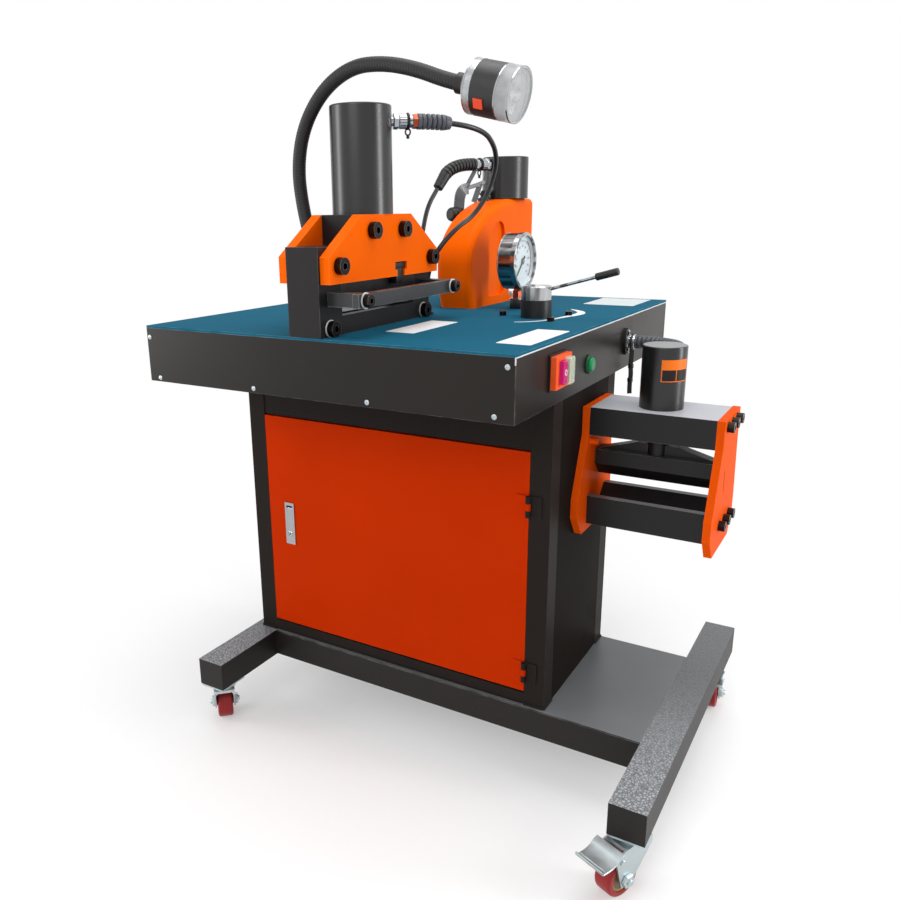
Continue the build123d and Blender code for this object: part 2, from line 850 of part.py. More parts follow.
# Cutter: body with two columns, head block, side plates, cylinder, ram and blades
cut_x = about(cutter_x, cutter_width / 2)
cut_floor = table_height + slot_floor
blade_low = cut_floor + slot_opening
carrier_low = blade_low + ram_lift
carrier_high = carrier_low + ram_height
column_top = table_height + column_height
plate_low = table_height + plate_foot
plate_high = table_height + plate_top
cylinder_foot = plate_high
shear_x = cutter_x - blade_gap / 2
upper_x = (cutter_x + blade_gap / 2, cutter_x + blade_gap / 2 + blade_thickness)
plate_screws = [(-47.0, 161.0), (47.0, 161.0), (-143.0, 110.0), (143.0, 110.0)]
foot_screws = [(-146.0, 13.0), (146.0, 13.0)]
with BuildPart() as cutter_body:
    slab(cut_x, about(cutter_y, cutter_half), (table_height, cut_floor))
    slab(
        cut_x,
        (cutter_y - cutter_half - cutter_front_lip, cutter_y - slot_half),
        (table_height, column_top),
    )
    slab(cut_x, (cutter_y + slot_half, cutter_y + cutter_half), (table_height, column_top))
    slab(
        (shear_x - lower_blade_width - running, upper_x[1] + 4.0),
        about(cutter_y, slot_half - 1.0),
        (cut_floor - blade_dip, cut_floor),
        Mode.SUBTRACT,
    )
    slab(
        (shear_x - lower_blade_width - running, shear_x),
        about(cutter_y, slot_half - 1.0),
        (cut_floor - lower_blade_height, cut_floor),
        Mode.SUBTRACT,
    )
    slab(cut_x, about(cutter_y, head_half), (column_top, plate_high))
    rod(
        (cutter_x, cutter_y, column_top),
        (0, 0, 1),
        plate_high - column_top,
        cutter_rod + 4 * running,
        Mode.SUBTRACT,
    )
    for along, up in plate_screws + foot_screws:
        rod(
            (cut_x[1], cutter_y + along, table_height + up),
            (-1, 0, 0),
            20.0,
            screw_shank + running,
            Mode.SUBTRACT,
        )
finish(cutter_body, "cutter_body")

plate_shape = (
    (-cutter_half, plate_foot),
    (cutter_half, plate_foot),
    (cutter_half, plate_shoulder),
    (plate_top_half, plate_top),
    (-plate_top_half, plate_top),
    (-cutter_half, plate_shoulder),
)
with BuildPart() as cutter_side_plates:
    for face in (cut_x[1], cut_x[0] - cutter_plate):
        with BuildSketch(Plane(origin=(face, cutter_y, table_height), x_dir=(0, 1, 0), z_dir=(1, 0, 0))):
            Polygon(*plate_shape, align=None)
        extrude(amount=cutter_plate)
    slab(
        (cut_x[1], cut_x[1] + cutter_plate),
        about(cutter_y + key_slot_y, key_slot_half),
        (plate_low, plate_low + key_slot_height),
        Mode.SUBTRACT,
    )
    slab(
        (cut_x[1], cut_x[1] + cutter_plate),
        about(cutter_y + key_slot_y, key_slot_head),
        (plate_low + key_slot_neck, plate_low + key_slot_height),
        Mode.SUBTRACT,
    )
    for along, up in plate_screws:
        rod(
            (cut_x[1], cutter_y + along, table_height + up),
            (1, 0, 0),
            cutter_plate,
            screw_shank + running,
            Mode.SUBTRACT,
        )
finish(cutter_side_plates, "cutter_side_plates")

cutter_port_dir = Vector(cos(radians(cutter_port_angle)), sin(radians(cutter_port_angle)), 0)
cutter_port = Vector(cutter_x, cutter_y, cylinder_foot + cutter_port_height) + cutter_port_dir * cutter_cylinder_radius
piston_high = cylinder_foot + cutter_cylinder_height - cylinder_cap - 24.0
with BuildPart() as cutter_cylinder:
    rod((cutter_x, cutter_y, cylinder_foot), (0, 0, 1), cutter_cylinder_height, cutter_cylinder_radius)
    fillet(cutter_cylinder.edges().filter_by(GeomType.CIRCLE).sort_by(Axis.Z)[-1], 3.0)
    rod(
        (cutter_x, cutter_y, cylinder_foot),
        (0, 0, 1),
        cylinder_cap,
        cutter_rod + running,
        Mode.SUBTRACT,
    )
    rod(
        (cutter_x, cutter_y, cylinder_foot + cylinder_cap),
        (0, 0, 1),
        cutter_cylinder_height - 2 * cylinder_cap,
        cutter_bore + running,
        Mode.SUBTRACT,
    )
    rod(cutter_port, cutter_port_dir * -1, coupler_sink, coupler_nipple + running, Mode.SUBTRACT)
finish(cutter_cylinder, "cutter_cylinder")

with BuildPart() as cutter_ram:
    slab(
        (cut_x[0] + seam, cut_x[1] - seam),
        about(cutter_y, slot_half - seam),
        (carrier_low, carrier_high),
    )
    slab(upper_x, about(cutter_y, blade_half), (carrier_low, blade_low + blade_height), Mode.SUBTRACT)
    rod(
        (cutter_x, cutter_y, carrier_high),
        (0, 0, 1),
        piston_high - carrier_high,
        cutter_rod,
    )
    rod((cutter_x, cutter_y, piston_high - cutter_piston), (0, 0, 1), cutter_piston, cutter_bore)
finish(cutter_ram, "cutter_ram")

with BuildPart() as cutter_upper_blade:
    slab(upper_x, about(cutter_y, blade_half), (blade_low, blade_low + blade_height))
finish(cutter_upper_blade, "cutter_upper_blade")

with BuildPart() as cutter_lower_blade:
    slab(
        (shear_x - lower_blade_width, shear_x),
        about(cutter_y, slot_half - 1.0 - running),
        (cut_floor - lower_blade_height, cut_floor),
    )
finish(cutter_lower_blade, "cutter_lower_blade")

bar_z = (table_height + bar_level, table_height + bar_level + bar_height)
bar_x = (cut_x[1] + bar_stand, cut_x[1] + bar_stand + bar_thickness)
with BuildPart() as cutter_guide_bar:
    slab(bar_x, about(cutter_y, arm_reach + bar_overhang), bar_z)
    for side in (-1, 1):
        slab((cut_x[1], bar_x[0] - seam), about(cutter_y + side * arm_reach, arm_width / 2), bar_z)
        rod(
            (bar_x[1], cutter_y + side * arm_reach, (bar_z[0] + bar_z[1]) / 2),
            (-1, 0, 0),
            bar_thickness + 15.0,
            bar_screw_shank + running,
            Mode.SUBTRACT,
        )
finish(cutter_guide_bar, "cutter_guide_bar")

# Punch: C-frame casting, cylinder, ram with punch, die
punch_face = about(punch_x, punch_thickness / 2)
punch_side = Plane(origin=(punch_face[0], 0, 0), x_dir=(0, 1, 0), z_dir=(1, 0, 0))
pocket_y = (punch_spine + pocket_rim, throat_wall - pocket_margin)
pocket_z = (jaw_lower + pocket_margin / 2, punch_top - pocket_top_drop)
pocket_shape = (
    (pocket_y[0], pocket_z[0]),
    (pocket_y[0], pocket_z[1]),
    (pocket_y[1], pocket_z[1]),
    (pocket_y[1], pocket_z[0]),
)
with BuildPart() as punch_frame:
    with BuildSketch(punch_side):
        with BuildLine():
            FilletPolyline(*punch_back, radius=foot_bend)
            EllipticalCenterArc(
                (punch_spine + arch_depth, arch_low),
                arch_depth,
                arch_rise,
                start_angle=90,
                arc_size=90,
            )
            Polyline(
                (punch_spine + arch_depth, punch_top),
                (punch_front, punch_top),
                (punch_front, jaw_upper),
            )
            FilletPolyline(
                (punch_front, jaw_upper),
                (throat_wall, jaw_upper),
                (throat_wall, jaw_lower),
                (punch_front, jaw_lower),
                radius=throat_round,
            )
            Polyline((punch_front, jaw_lower), (punch_front, punch_base), punch_back[0])
        make_face()
    extrude(amount=punch_thickness)
    outer_edges = punch_frame.edges().filter_by(Plane.YZ).filter_by(
        lambda edge: punch_base + 1 < edge.center().Z
        and edge.center().Y < punch_front - 1
        and not (edge.center().Y > throat_wall - 1 and edge.center().Z < jaw_upper + 1)
    )
    fillet(outer_edges, punch_round)
    for face, inward in ((punch_face[0], 1), (punch_face[1], -1)):
        with BuildSketch(Plane(origin=(face, 0, 0), x_dir=(0, 1, 0), z_dir=(1, 0, 0))):
            with BuildLine():
                FilletPolyline(*pocket_shape, radius=pocket_corners, close=True)
            make_face()
        extrude(amount=inward * pocket_depth, mode=Mode.SUBTRACT)
    rod((punch_x, punch_y, jaw_upper), (0, 0, 1), punch_top - jaw_upper, punch_rod + running, Mode.SUBTRACT)
    rod((punch_x, punch_y, jaw_lower - die_sink), (0, 0, 1), die_sink, die_radius + running, Mode.SUBTRACT)
    rod(
        (punch_x, punch_y, punch_base),
        (0, 0, 1),
        jaw_lower - die_sink - punch_base,
        slug_radius,
        Mode.SUBTRACT,
    )
finish(punch_frame, "punch_frame")

punch_port_dir = Vector(cos(radians(punch_port_angle)), sin(radians(punch_port_angle)), 0)
punch_port = Vector(punch_x, punch_y, punch_top + punch_port_height) + punch_port_dir * punch_cylinder_radius
punch_piston_high = punch_top + punch_cylinder_height - punch_cap - 4.0
with BuildPart() as punch_cylinder:
    rod((punch_x, punch_y, punch_top), (0, 0, 1), punch_cylinder_height, punch_cylinder_radius)
    fillet(punch_cylinder.edges().filter_by(GeomType.CIRCLE).sort_by(Axis.Z)[-1], 2.0)
    rod((punch_x, punch_y, punch_top), (0, 0, 1), punch_cap, punch_rod + running, Mode.SUBTRACT)
    rod(
        (punch_x, punch_y, punch_top + punch_cap),
        (0, 0, 1),
        punch_cylinder_height - 2 * punch_cap,
        punch_bore + running,
        Mode.SUBTRACT,
    )
    rod(punch_port, punch_port_dir * -1, coupler_sink, coupler_nipple + running, Mode.SUBTRACT)
finish(punch_cylinder, "punch_cylinder")

with BuildPart() as punch_ram:
    rod((punch_x, punch_y, punch_tip_height), (0, 0, 1), punch_tip_length, punch_tip_radius)
    rod(
        (punch_x, punch_y, punch_tip_height + punch_tip_length),
        (0, 0, 1),
        punch_piston_high - punch_tip_height - punch_tip_length,
        punch_rod,
    )
    rod((punch_x, punch_y, punch_piston_high - punch_piston), (0, 0, 1), punch_piston, punch_bore)
finish(punch_ram, "punch_ram")

with BuildPart() as punch_die:
    rod((punch_x, punch_y, jaw_lower - die_sink), (0, 0, 1), die_height, die_radius)
    chamfer(punch_die.edges().filter_by(GeomType.CIRCLE).sort_by(Axis.Z)[-1], 1.5)
    rod(
        (punch_x, punch_y, jaw_lower - die_sink),
        (0, 0, 1),
        die_height,
        punch_tip_radius + die_clearance,
        Mode.SUBTRACT,
    )
finish(punch_die, "punch_die")

# Pressure gauge
case_back = gauge_x - gauge_depth
dial_x = case_back + gauge_back
cavity_radius = gauge_radius - gauge_wall
glass_x = (gauge_x - gauge_glass_sink - gauge_glass_plate, gauge_x - gauge_glass_sink)
stem_top = gauge_z - gauge_radius
with BuildPart() as gauge_case:
    rod((case_back, gauge_y, gauge_z), (1, 0, 0), gauge_depth, gauge_radius)
    fillet(gauge_case.edges().filter_by(GeomType.CIRCLE).sort_by(Axis.X), 2.0)
    rod((dial_x, gauge_y, gauge_z), (1, 0, 0), gauge_depth, cavity_radius - glass_step, Mode.SUBTRACT)
    rod((glass_x[0], gauge_y, gauge_z), (1, 0, 0), gauge_depth, cavity_radius, Mode.SUBTRACT)
    rod((dial_x, gauge_y, gauge_z), (1, 0, 0), needle_plate + 1.5, needle_post)
    rod((gauge_stem_x, gauge_y, stem_top - 1.0), (0, 0, 1), stem_nipple, stem_hex / 2 + running, Mode.SUBTRACT)
finish(gauge_case, "gauge_case")

with BuildPart() as gauge_glass:
    rod((glass_x[0], gauge_y, gauge_z), (1, 0, 0), gauge_glass_plate, cavity_radius - running)
finish(gauge_glass, "gauge_glass")

needle_x = dial_x + 1.0
needle_dir = Vector(0, cos(radians(needle_rest)), sin(radians(needle_rest)))
with BuildPart() as gauge_needle:
    rod((needle_x, gauge_y, gauge_z), (1, 0, 0), needle_plate, needle_hub)
    with BuildSketch(Plane(origin=(needle_x, gauge_y, gauge_z), x_dir=needle_dir, z_dir=(1, 0, 0))):
        Polygon(
            (-needle_length / 3, -needle_width / 2),
            (needle_length, -0.5),
            (needle_length, 0.5),
            (-needle_length / 3, needle_width / 2),
            align=None,
        )
    extrude(amount=needle_plate)
    rod((needle_x, gauge_y, gauge_z), (1, 0, 0), needle_plate, needle_post + running, Mode.SUBTRACT)
finish(gauge_needle, "gauge_needle")

# Selector valve with its turning lever
valve_top = table_height + valve_height
post_high = valve_top + valve_cap_height - 7.0
with BuildPart() as valve_body:
    rod((valve_x, valve_y, table_height), (0, 0, 1), valve_height, valve_radius)
    rod((valve_x, valve_y, valve_top), (0, 0, 1), post_high - valve_top, valve_post)
finish(valve_body, "valve_body")

lever_dir = Vector(cos(radians(lever_slope)), 0, sin(radians(lever_slope)))
lever_point = Vector(valve_x + lever_start, valve_y, table_height + lever_height)
lever_tip = lever_point + lever_dir * lever_length
with BuildPart() as valve_lever:
    with BuildSketch(Plane.XY.offset(valve_top + seam)):
        with Locations((valve_x, valve_y)):
            RegularPolygon(valve_cap_radius, 10)
    extrude(amount=valve_cap_height - seam)
    chamfer(valve_lever.edges().group_by(Axis.Z)[-1], 2.0)
    rod(lever_point, lever_dir, lever_length, lever_rod)
    rod((valve_x, valve_y, valve_top), (0, 0, 1), post_high - valve_top + seam, valve_post + running, Mode.SUBTRACT)
finish(valve_lever, "valve_lever")

with BuildPart() as lever_grip:
    rod(lever_tip - lever_dir * grip_overlap, lever_dir, grip_length, grip_radius)
    fillet(lever_grip.edges().filter_by(GeomType.CIRCLE), 2.5)
    rod(
        lever_tip - lever_dir * grip_overlap,
        lever_dir,
        grip_overlap,
        lever_rod + grip_clearance,
        Mode.SUBTRACT,
    )
finish(lever_grip, "lever_grip")

# Bender: two cheek plates, top block, cylinder, beam and die
left_plate = (cabinet_right, cabinet_right + bender_plate)
right_plate = (left_plate[1] + bender_clear, left_plate[1] + bender_clear + bender_plate)
bender_inside = (left_plate[1], right_plate[0])
bender_x = (left_plate[1] + right_plate[0]) / 2
block_low = bender_top - bender_block_height
bender_screws = [
    (bender_y + index * bender_screw_pitch, level)
    for level in (bender_screw_top, bender_screw_low)
    for index in (-1, 0, 1)
]
cheek_shape = (
    (-bender_block_half - 1.0, bender_top),
    (-bender_block_half - 1.0, block_low),
    (-bender_front_half, bender_flare_top),
    (-bender_front_half, bender_flare_low),
    (-bender_front_half + 25.0, bender_plate_low),
    (bender_back_half - 25.0, bender_plate_low),
    (bender_back_half, bender_flare_low),
    (bender_back_half, bender_flare_top),
    (bender_block_half + 7.0, block_low),
    (bender_block_half + 7.0, bender_top),
)
with BuildPart() as bender_plates:
    for face in (left_plate[0], right_plate[0]):
        with BuildSketch(Plane(origin=(face, bender_y, 0), x_dir=(0, 1, 0), z_dir=(1, 0, 0))):
            Polygon(*cheek_shape, align=None)
        extrude(amount=bender_plate)
    rod((left_plate[1], stop_pin_y, stop_pin_z), (1, 0, 0), stop_pin_length, stop_pin_radius)
    slab(right_plate, about(sight_y, sight_width / 2), (sight_low, sight_high), Mode.SUBTRACT)
    for place_y, level in bender_screws:
        rod(
            (right_plate[0], place_y, level),
            (1, 0, 0),
            bender_plate,
            bender_screw_shank + running,
            Mode.SUBTRACT,
        )
finish(bender_plates, "bender_plates")

with BuildPart() as bender_top_block:
    slab(bender_inside, about(bender_y, bender_block_half), (block_low, bender_top))
    rod(
        (bender_x, bender_y, block_low),
        (0, 0, 1),
        bender_block_height,
        bender_rod + 2 * running,
        Mode.SUBTRACT,
    )
    for place_y, level in bender_screws[:3]:
        rod(
            (right_plate[0], place_y, level),
            (-1, 0, 0),
            bender_screw_grip,
            bender_screw_shank + running,
            Mode.SUBTRACT,
        )
finish(bender_top_block, "bender_top_block")

bender_port = Vector(bender_x, bender_y + bender_cylinder_radius, bulkhead_z)
bender_piston_high = bender_top + bender_cylinder_height - bender_cap - 2.0
with BuildPart() as bender_cylinder:
    rod((bender_x, bender_y, bender_top), (0, 0, 1), bender_cylinder_height, bender_cylinder_radius)
    fillet(bender_cylinder.edges().filter_by(GeomType.CIRCLE).sort_by(Axis.Z)[-1], 2.0)
    rod((bender_x, bender_y, bender_top), (0, 0, 1), bender_cap, bender_rod + running, Mode.SUBTRACT)
    rod(
        (bender_x, bender_y, bender_top + bender_cap),
        (0, 0, 1),
        bender_cylinder_height - 2 * bender_cap,
        bender_bore + running,
        Mode.SUBTRACT,
    )
    rod(bender_port, (0, -1, 0), coupler_sink, coupler_nipple + running, Mode.SUBTRACT)
finish(bender_cylinder, "bender_cylinder")

moving_x = (bender_inside[0] + beam_side_gap, bender_inside[1] - beam_side_gap)
moving_top = beam_nose + beam_depth
with BuildPart() as bender_beam:
    with BuildSketch(Plane(origin=(moving_x[0], bender_y, 0), x_dir=(0, 1, 0), z_dir=(1, 0, 0))):
        Polygon(
            (-nose_half, beam_nose),
            (nose_half, beam_nose),
            (beam_thickness / 2, beam_nose + nose_height),
            (beam_thickness / 2, moving_top),
            (-beam_thickness / 2, moving_top),
            (-beam_thickness / 2, beam_nose + nose_height),
            align=None,
        )
    extrude(amount=moving_x[1] - moving_x[0])
    with BuildSketch(Plane(origin=(bender_x, bender_y, 0), x_dir=(1, 0, 0), z_dir=(0, -1, 0))):
        Polygon(
            (moving_x[0] - bender_x, moving_top),
            (moving_x[1] - bender_x, moving_top),
            (gusset_half, moving_top + gusset_height),
            (-gusset_half, moving_top + gusset_height),
            align=None,
        )
    extrude(amount=gusset_thickness / 2, both=True)
    rod((bender_x, bender_y, moving_top), (0, 0, 1), bender_piston_high - moving_top, bender_rod)
    rod((bender_x, bender_y, bender_piston_high - bender_piston), (0, 0, 1), bender_piston, bender_bore)
finish(bender_beam, "bender_beam")

with BuildPart() as bender_die:
    with BuildSketch(Plane(origin=(bender_inside[0], bender_y, 0), x_dir=(0, 1, 0), z_dir=(1, 0, 0))):
        Polygon(
            (-vdie_half, vdie_low),
            (vdie_half, vdie_low),
            (vdie_half, vdie_high),
            (vdie_mouth, vdie_high),
            (vdie_floor_half, vdie_floor),
            (-vdie_floor_half, vdie_floor),
            (-vdie_mouth, vdie_high),
            (-vdie_half, vdie_high),
            align=None,
        )
    extrude(amount=bender_clear)
    for place_y, level in (bender_screws[3], bender_screws[5]):
        rod(
            (right_plate[0], place_y, level),
            (-1, 0, 0),
            bender_screw_grip,
            bender_screw_shank + running,
            Mode.SUBTRACT,
        )
finish(bender_die, "bender_die")

# Switch box and round button in the right skirt
housing_x = (table_right, table_right + switch_plate + switch_depth)
key_depth = key_root + key_travel + 1.0
keys_y = (switch_y - key_pitch / 2, switch_y + key_pitch / 2)
bezel_front = table_right + bezel_depth
button_root = bezel_depth + bezel_barrel_length - key_travel - 3.0
with BuildPart() as switch_housings:
    slab(
        (table_right, table_right + switch_plate),
        about(switch_y, switch_width / 2 + switch_rim),
        about(switch_z, switch_height / 2 + switch_rim),
    )
    slab(housing_x, about(switch_y, switch_width / 2), about(switch_z, switch_height / 2))
    for place_y in keys_y:
        slab(
            (housing_x[1] - key_depth, housing_x[1]),
            about(place_y, key_width / 2),
            about(switch_z, key_height / 2),
            Mode.SUBTRACT,
        )
    rod((table_right, pump_button_y, pump_button_z), (1, 0, 0), bezel_depth, bezel_radius)
    rod((table_right, pump_button_y, pump_button_z), (-1, 0, 0), bezel_barrel_length, bezel_barrel)
    rod(
        (bezel_front, pump_button_y, pump_button_z),
        (-1, 0, 0),
        bezel_depth + bezel_barrel_length - 2.0,
        pump_button_radius + running,
        Mode.SUBTRACT,
    )
finish(switch_housings, "switch_housings")

with BuildPart() as stop_button:
    slab(
        (housing_x[1] - key_root, housing_x[1] + key_rise),
        about(keys_y[0], key_width / 2 - seam),
        about(switch_z, key_height / 2 - seam),
    )
    fillet(stop_button.faces().sort_by(Axis.X)[-1].edges(), 2.0)
finish(stop_button, "stop_button")

with BuildPart() as start_button:
    slab(
        (housing_x[1] - key_root, housing_x[1] + key_rise - 5.0),
        about(keys_y[1], key_width / 2 - seam),
        about(switch_z, key_height / 2 - seam),
    )
    fillet(start_button.faces().sort_by(Axis.X)[-1].edges(), 2.0)
finish(start_button, "start_button")

with BuildPart() as pump_button:
    rod(
        (bezel_front + pump_button_rise, pump_button_y, pump_button_z),
        (-1, 0, 0),
        pump_button_rise + button_root,
        pump_button_radius,
    )
    fillet(pump_button.edges().filter_by(GeomType.CIRCLE).sort_by(Axis.X)[-1], 3.0)
finish(pump_button, "pump_button")

# Work lamp on its gooseneck
head_dir = Vector(cos(radians(head_tilt)), 0, -sin(radians(head_tilt)))
head_point = Vector(head_x, lamp_y, table_height + head_rise)
socket_top = table_height + lamp_base_height + lamp_socket_height
neck_route = [
    (lamp_x, lamp_y, socket_top),
    *((place_x, lamp_y, table_height + up) for place_x, up in neck_points),
    tuple(head_point - head_dir * neck_lead),
    tuple(head_point),
]
with BuildPart() as lamp_neck:
    rod((lamp_x, lamp_y, table_height), (0, 0, 1), lamp_base_height, lamp_base_radius)
    rod((lamp_x, lamp_y, table_height), (0, 0, 1), socket_top - table_height, lamp_socket_radius)
    with BuildLine() as neck_line:
        FilletPolyline(*neck_route, radius=bend_radii(neck_route))
    with BuildSketch(Plane(origin=neck_line.line @ 0, z_dir=neck_line.line % 0)):
        Circle(neck_radius)
    sweep()
finish(lamp_neck, "lamp_neck")

lens_depth = lens_plate + lens_sink
head_front = head_point + head_dir * head_length
head_under = head_dir.cross(Vector(0, -1, 0))
button_out = Vector(0, -cos(radians(lamp_button_turn)), 0) + head_under * sin(radians(lamp_button_turn))
button_middle = head_point + head_dir * lamp_button_along
with BuildPart() as lamp_head:
    with Locations(Plane(origin=head_point, z_dir=head_dir)):
        Cone(head_neck_radius, head_radius, head_cone, align=(Align.CENTER, Align.CENTER, Align.MIN))
    rod(head_point + head_dir * head_cone, head_dir, head_length - head_cone, head_radius)
    rod(head_front, head_dir * -1, lens_depth, head_radius - head_wall, Mode.SUBTRACT)
    rod(head_front, head_dir * -1, head_cavity, head_radius - 2 * head_wall, Mode.SUBTRACT)
    with Locations(
        Plane(
            origin=button_middle + button_out * head_radius,
            x_dir=head_dir,
            z_dir=button_out * -1,
        )
    ):
        Box(
            lamp_button_side + 2 * seam,
            lamp_button_side + 2 * seam,
            2 * (lamp_button_root + lamp_button_travel + 0.5),
            mode=Mode.SUBTRACT,
        )
finish(lamp_head, "lamp_head")

with BuildPart() as lamp_lens:
    rod(head_front - head_dir * lens_depth, head_dir, lens_plate, head_radius - head_wall - running)
finish(lamp_lens, "lamp_lens")

with BuildPart() as lamp_button:
    with Locations(
        Plane(
            origin=button_middle + button_out * (head_radius + lamp_button_rise),
            x_dir=head_dir,
            z_dir=button_out * -1,
        )
    ):
        Box(
            lamp_button_side,
            lamp_button_side,
            lamp_button_rise + lamp_button_root,
            align=(Align.CENTER, Align.CENTER, Align.MIN),
        )
    fillet(lamp_button.faces().sort_by(Axis(button_middle, button_out))[-1].edges(), 1.0)
finish(lamp_button, "lamp_button")


# Hydraulic couplers, grommets and the gauge's stem
def coupler(port, along):
    """A screwed coupler: nipple in the port, hexagon, sleeve and hose end."""
    rod(port - along * (coupler_sink - seam), along, coupler_sink + 4.0, coupler_nipple)
    rod(port + along * 3.0, along, 12.0, coupler_hex)
    rod(port + along * 15.0, along, coupler_length - 23.0, coupler_sleeve)
    rod(port + along * (coupler_length - 8.0), along, 8.0, coupler_nipple + 3.0)


cutter_hose_start = cutter_port + cutter_port_dir * coupler_length
punch_hose_start = punch_port + punch_port_dir * coupler_length
bulkhead_end = Vector(table_right + bulkhead_length, bulkhead_y, bulkhead_z)
port_end = Vector(bender_x, bulkhead_y - (bender_x - bulkhead_end.X), bulkhead_z)
guard_bend = bender_x - bulkhead_end.X - bender_guard_straight
with BuildPart() as hydraulic_fittings:
    coupler(cutter_port, cutter_port_dir)
    coupler(punch_port, punch_port_dir)
    rod((table_right - sheet - 12.0, bulkhead_y, bulkhead_z), (1, 0, 0), bulkhead_length - 8.0, bulkhead_hole)
    rod((table_right, bulkhead_y, bulkhead_z), (1, 0, 0), 9.0, bulkhead_hole + 6.0)
    rod((table_right, bulkhead_y, bulkhead_z), (1, 0, 0), bulkhead_length, coupler_nipple + 3.0)
    rod(bender_port + Vector(0, -coupler_sink + seam, 0), (0, 1, 0), coupler_sink + 4.0, coupler_nipple)
    rod(bender_port + Vector(0, 3.0, 0), (0, 1, 0), port_end.Y - bender_port.Y - 11.0, coupler_hex)
    rod(bender_port + Vector(0, 4.0, 0), (0, 1, 0), port_end.Y - bender_port.Y - 4.0, coupler_nipple + 3.0)
    with BuildLine() as bender_hose_line:
        FilletPolyline(
            tuple(bulkhead_end),
            (bender_x, bulkhead_y, bulkhead_z),
            tuple(port_end),
            radius=guard_bend,
        )
    with BuildSketch(Plane(origin=bulkhead_end, z_dir=(1, 0, 0))):
        Circle(hose_diameter / 2)
    sweep()
    slab(
        about(gauge_stem_x, stem_block / 2),
        about(gauge_y, stem_block / 2),
        (table_height, table_height + stem_block_height),
    )
    with BuildSketch(Plane.XY.offset(table_height + stem_block_height)):
        with Locations((gauge_stem_x, gauge_y)):
            RegularPolygon(stem_hex, 6)
    extrude(amount=stem_top - seam - table_height - stem_block_height)
    rod(
        (gauge_stem_x, gauge_y, table_height + stem_block_height),
        (0, 0, 1),
        stem_top - 1.0 + stem_nipple - seam - table_height - stem_block_height,
        stem_hex / 2,
    )
    for place_x, place_y in (cutter_grommet, punch_grommet):
        rod((place_x, place_y, table_under), (0, 0, 1), table_plate, grommet_radius - running)
        rod((place_x, place_y, table_height), (0, 0, 1), 3.0, grommet_radius + grommet_rim)
        rod((place_x, place_y, table_under), (0, 0, 1), 10.0, hose_diameter / 2 + seam, Mode.SUBTRACT)
finish(hydraulic_fittings, "hydraulic_fittings")

# Ribbed bend guards over the hoses
guard_end = 2 * guard_rib
cutter_guard_end = cutter_hose_start + cutter_port_dir * cutter_guard_length
drop = radians(punch_guard_drop)
punch_bend_start = punch_hose_start + punch_port_dir * punch_guard_straight
punch_corner = punch_bend_start + punch_port_dir * (punch_guard_bend * tan(drop / 2))
punch_out_dir = punch_port_dir * cos(drop) + Vector(0, 0, -sin(drop))
punch_guard_end = punch_corner + punch_out_dir * (punch_guard_bend * tan(drop / 2) + punch_guard_straight)
cutter_guard_route = Line(cutter_hose_start, cutter_guard_end)
punch_guard_route = FilletPolyline(punch_hose_start, punch_corner, punch_guard_end, radius=punch_guard_bend)
bender_guard_route = FilletPolyline(
    bulkhead_end,
    Vector(bender_x, bulkhead_y, bulkhead_z),
    port_end,
    radius=guard_bend,
)
punch_steady = Vector(-punch_port_dir.Y, punch_port_dir.X, 0)
guards = (
    (cutter_guard_route, Vector(0, 0, 1), cutter_hose_start, cutter_port_dir),
    (punch_guard_route, punch_steady, punch_hose_start, punch_port_dir),
    (bender_guard_route, Vector(0, 0, 1), bulkhead_end, Vector(1, 0, 0)),
)
with BuildPart() as hose_guards:
    for route, steady, start, along in guards:
        for plane, radius in rib_sections(route, steady, guard_end / 2):
            with BuildSketch(plane):
                Circle(radius)
        loft(ruled=True)
        with BuildLine():
            add(route)
        with BuildSketch(Plane(origin=start, z_dir=along)):
            Circle(guard_bore)
        sweep(mode=Mode.SUBTRACT)
finish(hose_guards, "hose_guards")

# Free hoses from the couplers, through the guards, down to the table's grommets
hose_floor = table_height - hose_end
cutter_route = [
    tuple(cutter_hose_start),
    tuple(cutter_hose_start + cutter_port_dir * (cutter_guard_length + 48.0)),
    *((place_x, place_y, table_height + up) for place_x, place_y, up in cutter_hose_points),
    (cutter_grommet[0], cutter_grommet[1] + 0.2, hose_floor),
]
with BuildPart() as cutter_hose:
    with BuildLine() as cutter_hose_line:
        FilletPolyline(*cutter_route, radius=bend_radii(cutter_route))
    with BuildSketch(Plane(origin=cutter_hose_start, z_dir=cutter_port_dir)):
        Circle(hose_diameter / 2)
    sweep()
finish(cutter_hose, "cutter_hose")

punch_route = [
    tuple(punch_guard_end),
    tuple(punch_guard_end + punch_out_dir * 42.0),
    *((place_x, place_y, table_height + up) for place_x, place_y, up in punch_hose_points),
    (punch_grommet[0], punch_grommet[1] + 0.2, hose_floor),
]
with BuildPart() as punch_hose:
    with BuildLine() as punch_hose_line:
        add(punch_guard_route)
    with BuildSketch(Plane(origin=punch_hose_start, z_dir=punch_port_dir)):
        Circle(hose_diameter / 2)
    sweep()
    with BuildLine() as punch_free_line:
        FilletPolyline(*punch_route, radius=bend_radii(punch_route))
    with BuildSketch(Plane(origin=punch_guard_end, z_dir=punch_out_dir)):
        Circle(hose_diameter / 2)
    sweep()
finish(punch_hose, "punch_hose")

for name, route, line, hose in (
    ("cutter hose", cutter_route, cutter_hose_line.line, cutter_hose),
    ("punch hose", punch_route, punch_free_line.line, punch_hose),
):
    radii = [round(radius, 1) for radius in bend_radii(route)]
    length = sum(edge.length for edge in line.edges())
    section = pi * hose_diameter**2 / 4
    print(name, "radii", radii, "length", round(length, 1))
    print(name, "volume", round(hose.part.volume, 1), "section x length", round(section * length, 1))

